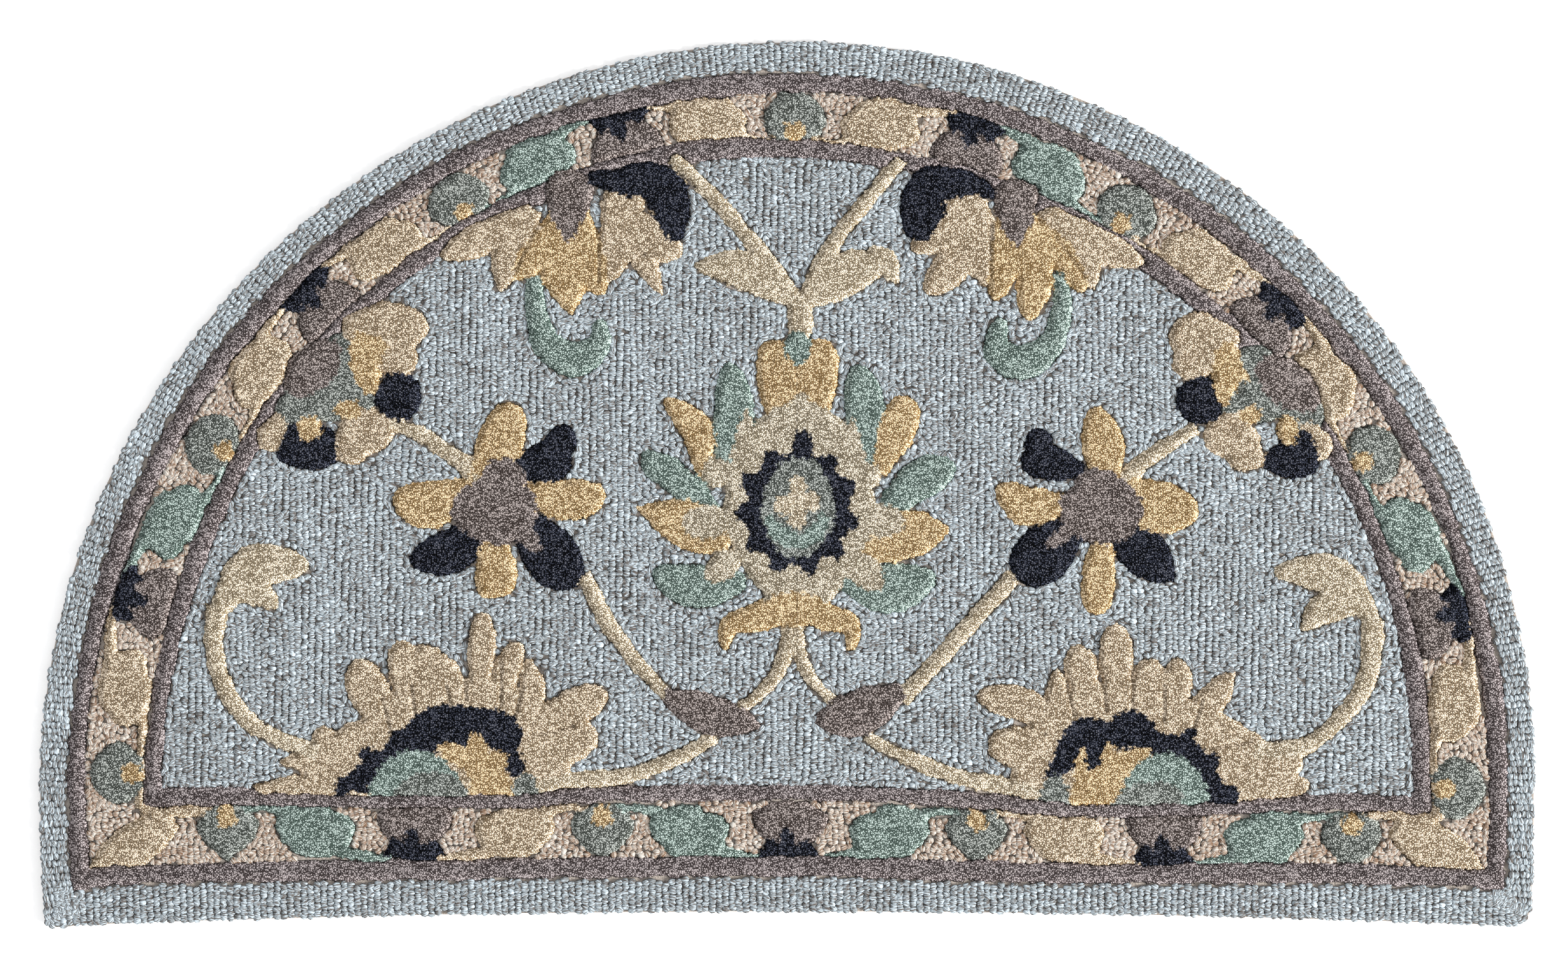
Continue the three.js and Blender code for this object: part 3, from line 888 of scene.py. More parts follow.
class Chart:
    """The rug from above in small square cells: the zone, the kind of pile and the wool of each cell."""

    ZONES = ("off", "band", "border", "field")
    PILES = ("loops", "field_pile", "border_pile", "stripe_pile")

    def __init__(self):
        self.x = np.arange(-CHART_HALF_WIDE, CHART_HALF_WIDE, CELL) + CELL / 2
        self.y = np.arange(-CHART_HALF_TALL, CHART_HALF_TALL, CELL) + CELL / 2
        shape = (len(self.y), len(self.x))
        self.zone = np.zeros(shape, np.int8)
        self.pile = np.zeros(shape, np.int8)
        self.wool = np.zeros(shape, np.int8)

    def inside(self, outline):
        """The cells that an outline holds, counting a cell that it winds round."""
        turns = np.zeros(self.zone.shape, np.int8)
        for (ax, ay), (bx, by) in zip(outline, np.roll(outline, -1, axis=0)):
            first, last = sorted(int(math.ceil((y - self.y[0]) / CELL)) for y in (ay, by))
            if first < last:
                y = self.y[first:last]
                crossing = ax + (y - ay) * (bx - ax) / (by - ay)
                turns[first:last] += (1 if by > ay else -1) * (self.x[None, :] > crossing[:, None])
        return turns != 0

    def lay(self, pile, shapes):
        """Lays shapes of one kind of pile over what is there."""
        wools = [row["wool"] for row in WOOLS]
        for wool, outline in shapes:
            held = self.inside(outline)
            self.pile[held] = self.PILES.index(pile)
            self.wool[held] = wools.index(wool)

    def at(self, grid, points):
        """The value of the cell that holds each point."""
        column = np.clip(((points[:, 0] - self.x[0]) / CELL + 0.5).astype(int), 0, grid.shape[1] - 1)
        row = np.clip(((points[:, 1] - self.y[0]) / CELL + 0.5).astype(int), 0, grid.shape[0] - 1)
        return grid[row, column]

    def between(self, grid, points):
        """The value at each point, shared between the four cells about it."""
        u = np.clip((points[:, 0] - self.x[0]) / CELL, 0, grid.shape[1] - 1.001)
        v = np.clip((points[:, 1] - self.y[0]) / CELL, 0, grid.shape[0] - 1.001)
        column, row = u.astype(int), v.astype(int)
        return blend(grid, column, row, u - column, v - row)


def rim_distance(held, reach):
    """How far each cell of a mask lies from the nearest cell outside it, up to a reach."""
    cells = int(reach / CELL)
    rows, columns = held.shape
    outside = np.pad(~held, cells, constant_values=True)
    distance = np.where(held, np.float32(reach), np.float32(0))
    for down in range(-cells, cells + 1):
        for right in range(-cells, cells + 1):
            away = np.float32(CELL * (math.hypot(down, right) - 0.5))
            if 0 < away < reach:
                near = outside[cells + down:cells + down + rows, cells + right:cells + right + columns]
                distance = np.where(near & (distance > away), away, distance)
    return distance


def soft_noise(points, long, seed):
    """A smooth random value from -1 to 1 at each point, which changes over so many millimetres."""
    half_wide, half_tall = 700, 500
    rng = np.random.default_rng(seed)
    grid = rng.uniform(-1, 1, (int(2 * half_tall / long) + 4, int(2 * half_wide / long) + 4))
    u = (points[:, 0] + half_wide) / long
    v = (points[:, 1] + half_tall) / long
    column, row = u.astype(int), v.astype(int)
    u, v = u - column, v - row
    return blend(grid, column, row, u * u * (3 - 2 * u), v * v * (3 - 2 * v))


def tuft_lattice(box):
    """Points a tuft apart in rows that stagger, with the triangles between them, over a box of the rug."""
    x0, x1, y0, y1 = box
    columns = int((x1 - x0) / TUFT) + 2
    rows = int((y1 - y0) / (TUFT * math.sqrt(3) / 2)) + 2
    row, column = np.mgrid[0:rows, 0:columns]
    x = x0 + (column + (row % 2) / 2) * TUFT
    y = y0 + row * TUFT * math.sqrt(3) / 2
    number = row * columns + column
    even = (row[:-1, :-1] % 2 == 0)[..., None]
    a, b = number[:-1, :-1], number[:-1, 1:]
    c, d = number[1:, :-1], number[1:, 1:]
    up = np.where(even, np.stack((a, b, c), -1), np.stack((a, b, d), -1))
    down = np.where(even, np.stack((b, d, c), -1), np.stack((a, d, c), -1))
    triangles = np.vstack((up.reshape(-1, 3), down.reshape(-1, 3)))
    return np.stack((x.ravel(), y.ravel()), axis=1), triangles


def crease_depth(points):
    """How deep the carving lies at each point."""
    depth = np.zeros(len(points))
    for row in CREASES:
        start = np.array((row["from_x"], row["from_y"]))
        way = np.array((row["to_x"], row["to_y"])) - start
        along = np.clip((points - start) @ way / (way @ way), 0, 1)
        away = np.hypot(*(points - start - along[:, None] * way).T)
        depth = np.maximum(depth, CREASE_DEEP * np.clip(1 - (away / CREASE_WIDE) ** 2, 0, 1))
    return depth


def linear(channel):
    """A colour channel from 0 to 255, as a photograph holds it, as light."""
    share = channel / 255
    return share / 12.92 if share < 0.04045 else ((share + 0.055) / 1.055) ** 2.4


def rgb(red, green, blue):
    """An opaque colour, as light, from channels from 0 to 255."""
    return (linear(red), linear(green), linear(blue), 1.0)


def colour_of(row):
    """The colour in a table's row."""
    return rgb(row["red"], row["green"], row["blue"])


def linked(name, data):
    """An object that is in the scene."""
    made = bpy.data.objects.new(name, data)
    bpy.context.scene.collection.objects.link(made)
    return made


def mesh_object(name, points, faces, material):
    """A smooth mesh from points in millimetres and triangles."""
    mesh = bpy.data.meshes.new(name)
    mesh.from_pydata((points * MM).tolist(), [], faces.tolist())
    mesh.polygons.foreach_set("use_smooth", np.ones(len(mesh.polygons), bool))
    mesh.materials.append(material)
    return linked(name, mesh)


def close_underneath(mesh):
    """Closes the open lower rim of a patch of pile with flat faces."""
    bm = bmesh.new()
    bm.from_mesh(mesh)
    rim = [edge for edge in bm.edges if edge.is_boundary]
    bmesh.ops.triangle_fill(bm, edges=rim, use_beauty=False, use_dissolve=False, normal=(0, 0, -1))
    bmesh.ops.recalc_face_normals(bm, faces=bm.faces)
    bm.to_mesh(mesh)
    bm.free()


def cut_pile(names, chart, pile, top, shoulder, material):
    """Soft-shouldered cut pile over every cell that has one kind: one closed piece or two that meet."""
    held = chart.pile == Chart.PILES.index(pile)
    rim = rim_distance(held, shoulder)
    columns, rows = np.flatnonzero(held.any(axis=0)), np.flatnonzero(held.any(axis=1))
    margin = 3 * TUFT
    box = (chart.x[columns[0]] - margin, chart.x[columns[-1]] + margin,
           chart.y[rows[0]] - margin, chart.y[rows[-1]] + margin)
    points, triangles = tuft_lattice(box)
    lattice_x = points[:, 0]
    rng = np.random.default_rng(SEED + Chart.PILES.index(pile))
    points = points + rng.uniform(-TUFT_ASIDE, TUFT_ASIDE, points.shape) * TUFT
    fine = np.stack([soft_noise(points, FRAY_FINE_LONG, SEED + k) for k in (1, 2)], axis=1)
    wide = np.stack([soft_noise(points, FRAY_WIDE_LONG, SEED + k) for k in (3, 4)], axis=1)
    inside = chart.at(held, points + FRAY * (fine + 2 * wide))
    triangles = triangles[inside[triangles].any(axis=1)]
    used = np.unique(triangles)
    points, inside, lattice_x = points[used], inside[used], lattice_x[used]
    triangles = np.searchsorted(used, triangles)

    reach = np.clip(chart.between(rim, points) / shoulder, 0, 1)
    height = PILE_RIM + (top - PILE_RIM) * np.sin(reach * np.pi / 2)
    height += PILE_ROLL * soft_noise(points, PILE_ROLL_LONG, SEED)
    height += TUFT_UNEVEN * rng.uniform(-1, 1, len(points))
    height -= crease_depth(points)
    wools = np.array([colour_of(row) for row in WOOLS], np.float32)
    colours = wools[tuft_wools(chart, held, points, triangles)]
    # Painted light: tufts near the pile's rim are made paler, as if their edges caught the light.
    colours[:, :3] *= (1 + RIM_PAINTED_LIGHT * (1 - reach) ** 2)[:, None]

    halves = [lattice_x < PILE_JOINT, lattice_x > PILE_JOINT - TUFT] if len(names) > 1 else [inside]
    return [pile_piece(name, points, height, triangles, inside & half, colours, material)
            for name, half in zip(names, halves)]


def tuft_wools(chart, held, points, triangles):
    """The wool of each tuft, looked up a little aside, with one step for all tufts of a needle's place."""
    needle = np.floor(points / NEEDLE_STEP).astype(np.int64)
    number = (needle[:, 0] * NEEDLE_PRIMES[0] ^ needle[:, 1] * NEEDLE_PRIMES[1]) & 0xFFFF
    looked = points + NEEDLE_REACH * np.stack((number % 251 / 250 - 0.5, number % 241 / 240 - 0.5), axis=1)
    wool = np.where(chart.at(held, looked), chart.at(chart.wool, looked), chart.at(chart.wool, points))
    # The tufts of the frayed rim that lie past the chart's pile take a neighbour's wool.
    nearest = np.where(chart.at(held, points), wool, -1)
    for _ in range(3):
        for corner in range(3):
            source, target = triangles[:, corner], triangles[:, (corner + 1) % 3]
            bare = (nearest[target] < 0) & (nearest[source] >= 0)
            nearest[target[bare]] = nearest[source[bare]]
    return np.maximum(nearest, 0)


def pile_piece(name, points, height, triangles, raised, colours, material):
    """A closed mesh of the triangles that a raised tuft touches, which carries each tuft's colour."""
    triangles = triangles[raised[triangles].any(axis=1)]
    used = np.unique(triangles)
    tops = np.column_stack((points, np.where(raised, height, PILE_FOOT)))[used]
    piece = mesh_object(name, tops, np.searchsorted(used, triangles), material)
    # The wool attribute holds each tuft's wool colour, paled near the rim by painted light.
    attribute = piece.data.attributes.new("wool", "FLOAT_COLOR", "POINT")
    attribute.data.foreach_set("color", colours[used].ravel())
    close_underneath(piece.data)
    return piece


def spaced(points, gap, given=0):
    """Which points to keep so that no two lie closer than a gap: the given ones, then the earliest."""
    kept = {}
    keep = np.zeros(len(points), bool)
    for k, (x, y) in enumerate(points.tolist()):
        cx, cy = int(x // gap), int(y // gap)
        about = (kept.get((cx + i, cy + j), ()) for i in (-1, 0, 1) for j in (-1, 0, 1))
        if k < given or all((x - u) ** 2 + (y - v) ** 2 >= gap * gap for cell in about for u, v in cell):
            kept.setdefault((cx, cy), []).append((x, y))
            keep[k] = True
    return keep


def evenly_along(line, step):
    """Points a step apart along a closed line, with the way in from the line at each."""
    closed = np.vstack((line, line[:1]))
    run = np.concatenate(([0], np.cumsum(np.hypot(*np.diff(closed, axis=0).T))))
    at = np.arange(0, run[-1], step)
    points = np.stack([np.interp(at, run, closed[:, k]) for k in (0, 1)], axis=1)
    way = np.roll(points, -1, axis=0) - np.roll(points, 1, axis=0)
    inward = np.stack((-way[:, 1], way[:, 0]), axis=1) / np.hypot(way[:, :1], way[:, 1:])
    return points, inward


def edge_rows(insets, step, rng):
    """Loops in columns across the rug's edge, each a little past the last, with the turn of each loop."""
    points, inward = evenly_along(rug_edge(), step)
    past = np.cumsum(rng.normal(*COLUMN_PAST, len(points))) % 1 - 0.5
    shift = past[:, None] * (insets[1] - insets[0])
    places = np.vstack([points + inward * np.maximum(inset + shift, EDGE_LOOP_INSET) for inset in insets])
    turns = np.tile(np.arctan2(inward[:, 1], inward[:, 0]) - np.pi / 2, len(insets))
    return places, turns


def field_columns(rng):
    """Loops in straight columns over the field, with no turn. Each column starts at a place of its own."""
    column, row = np.mgrid[slice(*FIELD_COLUMNS), slice(*FIELD_ROWS)]
    x = column * COLUMN_STEP + COLUMN_WAVE * np.sin(row * ROW_WAVE_TURN + column * COLUMN_WAVE_TURN)
    y = (row + rng.uniform(0, 1, (len(column), 1))) * LOOP_STEP
    return np.stack((x.ravel(), y.ravel()), axis=1), np.zeros(x.size)


def border_rows(rng):
    """Loops along the border, with the turn of each: round the arch, then along the straight side."""
    places, turns = edge_rows(BORDER_INSET + BORDER_STEP * np.arange(BORDER_ROWS), BORDER_LOOP, rng)
    x = np.arange(-BASE_HALF, BASE_HALF, BORDER_LOOP)
    ups = np.arange(-BORDER_HALF, BORDER_HALF + 1, BORDER_STEP)
    straight = np.vstack([np.column_stack((x, base_middle(x) + up)) for up in ups])
    straight = straight[straight[:, 1] < BORDER_BASE_Y]
    round_arch = places[:, 1] >= BORDER_BASE_Y
    places = np.vstack((places[round_arch], straight))
    turns = np.concatenate((turns[round_arch], np.zeros(len(straight))))
    return places + rng.normal(0, BORDER_LOOP_ASIDE, places.shape), turns


def rim_row(chart, clear, zone):
    """Loops in one row that follows the outline of the cut pile, with the turn that lays each along it."""
    down, right = np.gradient(clear)
    held = (np.abs(clear - RIM_LOOP_GAP) < RIM_LOOP_STRIP) & (chart.zone == zone)
    rows, columns = np.nonzero(held)
    places = np.stack((chart.x[columns], chart.y[rows]), axis=1)
    turns = np.arctan2(down[rows, columns], right[rows, columns]) + np.pi / 2
    keep = spaced(places, RIM_LOOP_STEP)
    rng = np.random.default_rng(SEED + zone)
    places = places[keep] + rng.normal(0, RIM_LOOP_ASIDE, (keep.sum(), 2))
    return places, turns[keep] + rng.normal(0, LOOP_TURN, keep.sum())


def spare_places(chart, clear, zone, rng):
    """Places close together all over a zone, where loops may fill what the columns and rim rows leave."""
    spare = np.stack(np.meshgrid(np.arange(*FILL_X, FILL_STEP), np.arange(*FILL_Y, FILL_STEP)), -1)
    spare = spare.reshape(-1, 2)
    spare = spare + rng.uniform(-0.5, 0.5, spare.shape) * FILL_STEP
    return spare[(chart.at(chart.zone, spare) == zone) & (chart.between(clear, spare) > FILL_START)]


def loop_places(chart, zone_name):
    """Where the loops of one zone stand, and how each is turned."""
    zone = Chart.ZONES.index(zone_name)
    rng = np.random.default_rng(SEED + 10 * zone)
    clear = rim_distance((chart.pile == Chart.PILES.index("loops")) & (chart.zone > 0), COLUMN_START + 2)
    if zone_name == "field":
        places, turns = field_columns(rng)
    elif zone_name == "band":
        places, turns = edge_rows(EDGE_LOOP_INSET + LOOP_STEP * np.arange(EDGE_LOOP_ROWS), COLUMN_STEP, rng)
    else:
        places, turns = border_rows(rng)
    places = places + rng.normal(0, LOOP_ASIDE, places.shape)
    start = BAND_START if zone_name == "band" else COLUMN_START
    keep = (chart.at(chart.zone, places) == zone) & (chart.between(clear, places) > start)
    places, turns = places[keep], turns[keep]
    if zone_name == "band":
        return places, turns
    near, near_turns = rim_row(chart, clear, zone)
    places, turns = np.vstack((near, places)), np.concatenate((near_turns, turns))
    spare = spare_places(chart, clear, zone, rng)
    taken = spaced(places, CROWDED * RIM_LOOP_STEP)
    places, turns = places[taken], turns[taken]
    added = spaced(np.vstack((places, spare)), FILL_GAP, len(places))[len(places):]
    turns = np.concatenate((turns, rng.uniform(-LOOP_TURN, LOOP_TURN, added.sum())))
    return np.vstack((places, spare[added])), turns


def bead():
    """One loop of yarn as a small closed bead, one unit wide."""
    sides = 7
    rings = table("""
    across  up
    .49  -.06
    .38   .33
    """)
    points = []
    for ring in rings:
        for k in range(sides):
            a = 2 * math.pi * k / sides
            points.append((ring["across"] * math.cos(a), ring["across"] * math.sin(a), ring["up"]))
    points.append((0, 0, 0.5))
    faces = [tuple(range(sides - 1, -1, -1))]
    for k in range(sides):
        after = (k + 1) % sides
        faces.append((k, after, sides + after, sides + k))
        faces.append((sides + k, sides + after, 2 * sides))
    return np.array(points), faces


def bead_object(material):
    """The bead as an object, which carries each point's place on it."""
    points, faces = bead()
    mesh = bpy.data.meshes.new("loop_bead")
    mesh.from_pydata(points.tolist(), [], faces)
    mesh.polygons.foreach_set("use_smooth", np.ones(len(mesh.polygons), bool))
    mesh.materials.append(material)
    on_bead = mesh.attributes.new("on_bead", "FLOAT_VECTOR", "POINT")
    on_bead.data.foreach_set("vector", points.astype(np.float32).ravel())
    return bpy.data.objects.new("loop_bead", mesh)


def loop_tree():
    """Geometry Nodes that set a bead of yarn on each point, turned, tilted and sized a little unevenly."""
    tree = bpy.data.node_groups.new("wool_loops", "GeometryNodeTree")
    sockets = table("""
    name       side   kind
    Geometry   INPUT  Geometry
    Bead       INPUT  Object
    Size       INPUT  Vector
    Unevenness INPUT  Float
    Tilt       INPUT  Float
    Seed       INPUT  Int
    Wool       INPUT  Material
    Geometry   OUTPUT Geometry
    """)
    for row in sockets:
        tree.interface.new_socket(row["name"], in_out=row["side"], socket_type="NodeSocket" + row["kind"])

    def node(kind, inputs, **settings):
        """A new node's outputs. Each input is linked where it is given a socket."""
        made = tree.nodes.new(kind)
        for name, value in settings.items():
            setattr(made, name, value)
        for key, value in inputs.items():
            if isinstance(value, bpy.types.NodeSocket):
                tree.links.new(value, made.inputs[key])
            else:
                made.inputs[key].default_value = value
        return made.outputs

    def random_vector(spread, seed):
        """For each point, a vector whose three parts are at most a spread to either side of zero."""
        high = node("ShaderNodeCombineXYZ", {"X": spread, "Y": spread, "Z": spread})[0]
        low = node("ShaderNodeVectorMath", {0: high, "Scale": -1}, operation="SCALE")[0]
        return node("FunctionNodeRandomValue", {0: low, 1: high, "Seed": seed}, data_type="FLOAT_VECTOR")[0]

    given = node("NodeGroupInput", {})
    turn = node("GeometryNodeInputNamedAttribute", {"Name": "turn"}, data_type="FLOAT")["Attribute"]
    facing = node("ShaderNodeCombineXYZ", {"Z": turn})[0]
    tilt = random_vector(given["Tilt"], given["Seed"])
    turned = node("ShaderNodeVectorMath", {0: facing, 1: tilt}, operation="ADD")[0]
    next_seed = node("ShaderNodeMath", {0: given["Seed"], 1: 1}, operation="ADD")[0]
    uneven = random_vector(given["Unevenness"], next_seed)
    around_one = node("ShaderNodeVectorMath", {0: uneven, 1: (1, 1, 1)}, operation="ADD")[0]
    size = node("ShaderNodeVectorMath", {0: given["Size"], 1: around_one}, operation="MULTIPLY")[0]
    shape = node("GeometryNodeObjectInfo", {"Object": given["Bead"]})["Geometry"]
    inputs = {"Points": given["Geometry"], "Instance": shape, "Rotation": turned, "Scale": size}
    placed = node("GeometryNodeInstanceOnPoints", inputs)[0]
    tone = node("FunctionNodeRandomValue", {"Seed": given["Seed"]}, data_type="FLOAT")[1]
    inputs = {"Geometry": placed, "Name": "tone", "Value": tone}
    kept = node("GeometryNodeStoreNamedAttribute", inputs, data_type="FLOAT", domain="INSTANCE")[0]
    real = node("GeometryNodeRealizeInstances", {0: kept})[0]
    coloured = node("GeometryNodeSetMaterial", {"Geometry": real, "Material": given["Wool"]})[0]
    node("NodeGroupOutput", {0: coloured})
    return tree


def loops(name, tree, places, turns, size, material, seed):
    """The loops of one stretch of ground as one mesh."""
    mesh = bpy.data.meshes.new(name + "_points")
    mesh.from_pydata(np.column_stack((places * MM, np.full(len(places), LOOP_MIDDLE * MM))).tolist(), [], [])
    attribute = mesh.attributes.new("turn", "FLOAT", "POINT")
    attribute.data.foreach_set("value", turns.astype(np.float32))
    source = linked(name + "_points", mesh)
    modifier = source.modifiers.new("loops", "NODES")
    modifier.node_group = tree
    one_bead = bead_object(material)
    values = {"Bead": one_bead, "Size": tuple(s * MM for s in size), "Unevenness": LOOP_UNEVEN,
              "Tilt": LOOP_TILT, "Seed": seed, "Wool": material}
    for item in tree.interface.items_tree:
        if item.in_out == "INPUT" and item.name in values:
            modifier[item.identifier] = values[item.name]
    evaluated = source.evaluated_get(bpy.context.evaluated_depsgraph_get())
    made = bpy.data.meshes.new_from_object(evaluated)
    made.name = name
    piece = linked(name, made)
    bpy.data.objects.remove(source)
    bpy.data.objects.remove(one_bead)
    return piece


def backing(wool, cloth):
    """The cloth under the pile: a thin slab with a rounded edge and a plain woven underside."""
    profile = table("""
    inset  up
    2.6   0
    1.0   .5
    .5   1.7
    .5   3.1
    1.2  4.2
    3.2  4.6
    """)
    edge, inward = evenly_along(rug_edge(), CLOTH_STEP)
    count = len(edge)
    points = np.vstack([np.column_stack((edge + inward * row["inset"], np.full(count, row["up"])))
                        for row in profile])
    top_ring = (len(profile) - 1) * count
    faces = []
    for ring in range(0, top_ring, count):
        for k in range(count):
            after = (k + 1) % count
            faces.append((ring + k, ring + after, ring + count + after, ring + count + k))
    faces.append(tuple(range(top_ring, top_ring + count)))
    faces.append(tuple(range(count - 1, -1, -1)))
    mesh = bpy.data.meshes.new("tufted_cloth")
    mesh.from_pydata((points * MM).tolist(), [], faces)
    mesh.materials.append(wool)
    mesh.materials.append(cloth)
    mesh.polygons[len(faces) - 1].material_index = 1
    return linked("tufted_cloth", mesh)


class Number:
    """A number that varies over a surface: an expression on it adds the Math nodes that work it out."""

    def __init__(self, paint, socket):
        self.paint = paint
        self.socket = socket

    def worked(self, operation, first, second):
        return self.paint.node("ShaderNodeMath", {"operation": operation}, {0: first, 1: second})

    def __add__(self, other):
        return self.worked("ADD", self, other)

    def __sub__(self, other):
        return self.worked("SUBTRACT", self, other)

    def __rsub__(self, other):
        return self.worked("SUBTRACT", other, self)

    def __mul__(self, other):
        return self.worked("MULTIPLY", self, other)

    __radd__ = __add__
    __rmul__ = __mul__


class Paint:
    """A material's nodes. `node` makes one, with its settings first and then its sockets' values or links."""

    def __init__(self, name):
        self.material = bpy.data.materials.new(name)
        self.material.use_nodes = True
        self.tree = self.material.node_tree
        self.tree.nodes.clear()

    def node(self, kind, settings, sockets, out=0):
        made = self.tree.nodes.new(kind)
        for name, value in settings.items():
            if name == "stops":
                self.set_stops(made.color_ramp, value)
            else:
                setattr(made, name, value)
        for key, value in sockets.items():
            if isinstance(value, Number):
                self.tree.links.new(value.socket, made.inputs[key])
            else:
                made.inputs[key].default_value = value
        return Number(self, made.outputs[out]) if len(made.outputs) else made

    @staticmethod
    def set_stops(ramp, stops):
        """Gives a colour ramp these colours, each at its place."""
        while len(ramp.elements) > 1:
            ramp.elements.remove(ramp.elements[-1])
        for k, (at, colour) in enumerate(stops):
            stop = ramp.elements[0] if k == 0 else ramp.elements.new(at)
            stop.position = at
            stop.color = colour

    def place(self):
        """The place on the object."""
        return self.node("ShaderNodeTexCoord", {}, {}, "Object")

    def attribute(self, name, out="Fac"):
        """A value that the mesh carries."""
        return self.node("ShaderNodeAttribute", {"attribute_name": name}, {}, out)

    def noise(self, place, long, detail):
        """Soft noise that changes over so many millimetres."""
        sockets = {"Vector": place, "Scale": 1 / (long * MM), "Detail": detail, "Roughness": 0.6}
        return self.node("ShaderNodeTexNoise", {}, sockets)

    def cells(self, place, wide, dimensions, out="Distance"):
        """Round cells so many millimetres wide."""
        settings = {"voronoi_dimensions": dimensions}
        return self.node("ShaderNodeTexVoronoi", settings, {"Vector": place, "Scale": 1 / (wide * MM)}, out)

    def within(self, number):
        """A number held between 0 and 1."""
        return self.node("ShaderNodeMath", {"operation": "ADD", "use_clamp": True}, {0: number, 1: 0.0})

    def red_of(self, colour):
        """The first channel of a colour."""
        return self.node("ShaderNodeSeparateColor", {}, {0: colour})

    def mixed(self, share, first, second, blend_type="MIX"):
        """Two colours mixed by a share of the second."""
        settings = {"data_type": "RGBA", "blend_type": blend_type}
        return self.node("ShaderNodeMix", settings, {0: share, 6: first, 7: second}, 2)

    def lit(self, colour, amount):
        """A colour with each channel multiplied by a number."""
        grey = self.node("ShaderNodeCombineColor", {}, {0: amount, 1: amount, 2: amount})
        return self.mixed(1.0, colour, grey, "MULTIPLY")

    def finish(self, colour, height, bump_mm, roughness, specular):
        """The material, with a colour and with a bump of so many millimetres."""
        bump = self.node("ShaderNodeBump", {}, {"Height": height, "Distance": bump_mm * MM, "Strength": 1.0})
        sockets = {"Base Color": colour, "Normal": bump, "Roughness": roughness}
        sockets["Specular IOR Level"] = specular
        shader = self.node("ShaderNodeBsdfPrincipled", {}, sockets)
        self.node("ShaderNodeOutputMaterial", {}, {"Surface": shader})
        return self.material


def cut_wool():
    """Cut pile: yarn tips a little over a millimetre wide over gaps, mottled more widely, with painted shade
    in the gaps and painted light, sheen and glints on the tips.
    """
    paint = Paint("cut_wool")
    place = paint.place()
    wool = paint.attribute("wool", "Color")
    gap = paint.cells(place, TIP_WIDE, "2D")
    speck = paint.red_of(paint.cells(place, TIP_WIDE, "2D", "Color"))
    mottle = paint.noise(place, MOTTLE_LONG, detail=2)
    clump = paint.noise(place, CLUMP_LONG, detail=1)
    tip = paint.within(1.3 - 2.3 * gap)
    share = paint.within(1.6 * tip + 1.7 * speck + 0.9 * mottle + 0.9 * clump - 2.1)
    # Painted shade: the wool darkened in the gaps between tufts. Painted light: the wool brightened at the
    # tips, with a painted sheen added.
    deep = paint.lit(paint.node("ShaderNodeGamma", {}, {"Color": wool, "Gamma": GAP_SHADE_GAMMA}), GAP_SHADE_SHARE)
    bright = paint.mixed(1.0, paint.lit(wool, TIP_LIGHT_SHARE), PAINTED_SHEEN, "ADD")
    # Painted glints: a few tips made brighter still, as if catching the light.
    painted_glint = paint.within(3.6 * speck * tip - 1.9)
    colour = paint.mixed(painted_glint, paint.mixed(share, deep, bright), PAINTED_GLINT, "ADD")
    return paint.finish(colour, tip, bump_mm=0.8, roughness=0.95, specular=0.05)


def loop_wool(name):
    """Loops of heathered yarn: in each, strands of several shades slant across it."""
    paint = Paint(name)
    place = paint.place()
    tone = paint.attribute("tone")
    split = paint.node("ShaderNodeSeparateXYZ", {}, {0: paint.attribute("on_bead", "Vector")})
    x, y = split, Number(paint, split.socket.node.outputs[1])
    slant = paint.node("ShaderNodeMath", {"operation": "SINE"}, {0: tone * 61.0})
    across = y + 0.5 * slant * x
    along = x - 0.5 * slant * y
    streak_place = paint.node("ShaderNodeCombineXYZ", {}, {0: across * 8.0, 1: along * 1.6, 2: tone * 90.0})
    strand = paint.node("ShaderNodeTexNoise", {}, {"Vector": streak_place, "Scale": 1.0, "Detail": 1.0})
    cloud = paint.noise(place, 26, detail=2)
    share = paint.within(3.1 * strand + 0.4 * cloud + 0.16 * tone - 1.36)
    stops = [(row["share"], colour_of(row)) for row in LOOP_SHADES if row["wool"] == name]
    shade = paint.node("ShaderNodeValToRGB", {"stops": stops}, {0: share})
    return paint.finish(shade, strand, bump_mm=0.7, roughness=0.92, specular=0.1)


def ground_wool():
    """The wool at the roots of the loops and on the rug's edge."""
    paint = Paint("ground_wool")
    place = paint.place()
    grain = paint.cells(place, 1.6, "3D")
    mottle = paint.noise(place, 4, detail=3)
    colour = paint.mixed(mottle, rgb(116, 108, 102), rgb(160, 152, 144))
    return paint.finish(colour, 1 - grain, bump_mm=0.6, roughness=0.95, specular=0.1)


def backing_cloth():
    """The plain woven cloth of the underside."""
    paint = Paint("backing_cloth")
    place = paint.place()
    threads = {"Vector": place, "Scale": 0.16 / MM}
    warp = paint.node("ShaderNodeTexWave", {"bands_direction": "X"}, threads)
    weft = paint.node("ShaderNodeTexWave", {"bands_direction": "Y"}, threads)
    slub = paint.noise(place, 5, detail=3)
    weave = warp * weft
    colour = paint.mixed(weave * 0.5 + slub * 0.5, rgb(158, 146, 126), rgb(206, 196, 176))
    return paint.finish(colour, weave, bump_mm=0.4, roughness=0.95, specular=0)


def floor_finish():
    """The pale, matt floor."""
    paint = Paint("pale_floor")
    place = paint.place()
    mottle = paint.noise(place, 60, detail=3)
    colour = paint.mixed(mottle, rgb(250, 250, 250), rgb(254, 254, 254))
    return paint.finish(colour, mottle, bump_mm=0.02, roughness=0.8, specular=0)


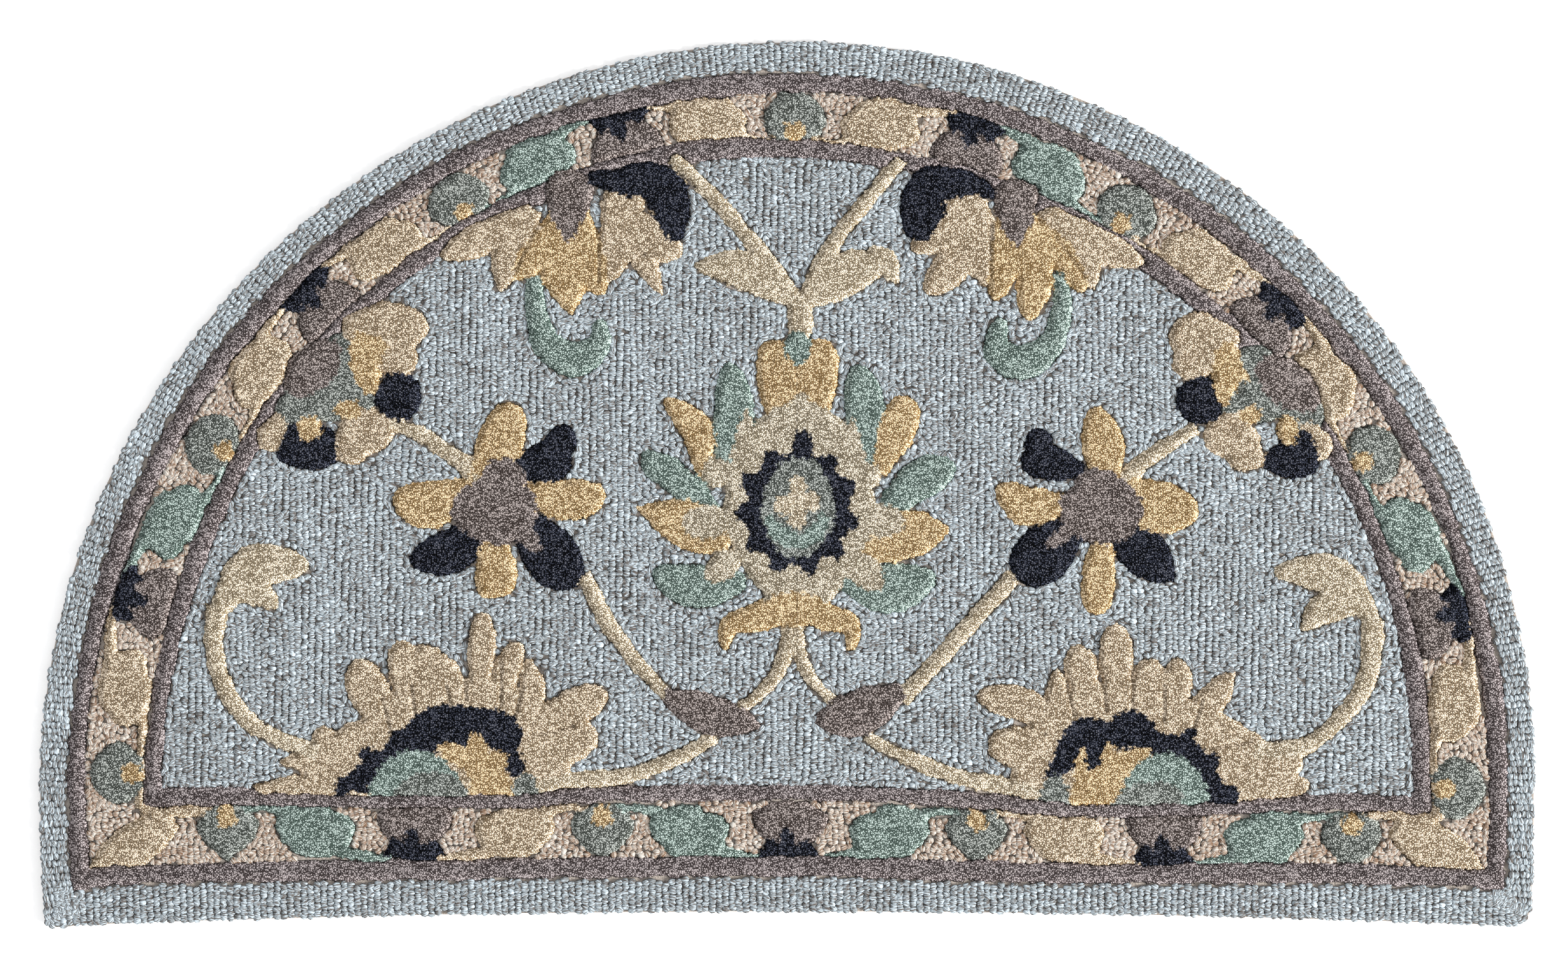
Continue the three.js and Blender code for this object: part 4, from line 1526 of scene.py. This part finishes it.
def chart_of_rug():
    """Where everything lies: zones first, then the pile from the lowest shapes to the highest."""
    chart = Chart()
    for zone, line in enumerate((rug_edge(), stripe_middle("outer"), stripe_middle("inner")), start=1):
        chart.zone[chart.inside(line)] = zone
    chart.lay("field_pile", petals_of(HALF_PALMETTES) + strokes_of(TAILS) + petals_of(HALF_PALMETTE_HEARTS))
    chart.lay("border_pile", border_motifs())
    chart.lay("stripe_pile", guard_stripes())
    chart.lay("field_pile", field_motifs())
    return chart


def build_rug():
    """Every piece of the rug, the tufted cloth first and then those that stand on it."""
    chart = chart_of_rug()
    pile = cut_wool()
    blue_grey = loop_wool("blue_grey_loops")
    cream = loop_wool("cream_loops")
    body = backing(ground_wool(), backing_cloth())
    flowers = ("flowers_left", "flowers_right")
    pieces = cut_pile(flowers, chart, "field_pile", MOTIF_TOP, MOTIF_SHOULDER, pile)
    pieces += cut_pile(("border_leaves",), chart, "border_pile", MOTIF_TOP, MOTIF_SHOULDER, pile)
    pieces += cut_pile(("guard_stripes",), chart, "stripe_pile", STRIPE_TOP, STRIPE_SHOULDER, pile)
    tree = loop_tree()
    long_loop = (LOOP_WIDE, LOOP_LONG, LOOP_TALL)
    round_loop = (ROUND_LOOP_WIDE, ROUND_LOOP_WIDE, LOOP_TALL)
    places, turns = loop_places(chart, "field")
    for k, part in enumerate(("left", "middle", "right")):
        first, last = np.quantile(places[:, 0], (k / 3, (k + 1) / 3))
        held = (places[:, 0] >= first) & ((places[:, 0] < last) | (k == 2))
        name = "field_loops_" + part
        pieces.append(loops(name, tree, places[held], turns[held], long_loop, blue_grey, SEED + k))
    places, turns = loop_places(chart, "band")
    pieces.append(loops("edge_loops", tree, places, turns, long_loop, blue_grey, SEED + 4))
    places, turns = loop_places(chart, "border")
    pieces.append(loops("border_loops", tree, places, turns, round_loop, cream, SEED + 5))
    return body, pieces


def floor():
    """The floor, half a millimetre under the rug."""
    mesh = bpy.data.meshes.new("floor")
    half = FLOOR_HALF * MM
    corners = [(-half, -half, 0), (half, -half, 0), (half, half, 0), (-half, half, 0)]
    mesh.from_pydata(corners, [], [(0, 1, 2, 3)])
    mesh.materials.append(floor_finish())
    made = linked("floor", mesh)
    made.location.z = -0.5 * MM


def camera():
    """A camera straight above the rug, which frames it as the photograph does."""
    data = bpy.data.cameras.new("camera")
    data.sensor_width = SENSOR_WIDE
    data.lens = SENSOR_WIDE * (CAMERA_HIGH - MOTIF_TOP) / PHOTO_WIDE
    data.clip_end = 100
    made = linked("camera", data)
    made.location = (PHOTO_X * MM, PHOTO_Y * MM, CAMERA_HIGH * MM)
    bpy.context.scene.camera = made


def area_light(row):
    """A square light that faces the rug."""
    data = bpy.data.lights.new(row["light"], "AREA")
    data.shape = "SQUARE"
    data.size = row["size"]
    data.energy = row["power"]
    data.color = (row["red"], row["green"], row["blue"])
    made = linked(row["light"], data)
    made.location = (row["x"], row["y"], row["z"])
    made.rotation_mode = "QUATERNION"
    made.rotation_quaternion = (-made.location).to_track_quat("-Z", "Y")


def studio():
    """Soft light, most of it from the right, and a pale room."""
    for row in LIGHTS:
        area_light(row)
    world = bpy.data.worlds.new("room")
    world.use_nodes = True
    world.node_tree.nodes["Background"].inputs["Color"].default_value = (1, 1, 1, 1)
    world.node_tree.nodes["Background"].inputs["Strength"].default_value = ROOM_LIGHT
    bpy.context.scene.world = world
    bpy.context.scene.view_settings.view_transform = "Standard"


camera()
studio()
floor()
body, pile_pieces = build_rug()
for piece in [body] + pile_pieces:
    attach(piece, "root")
    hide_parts("rug")
edge_x, edge_y = rug_edge().T
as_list(pile_pieces)
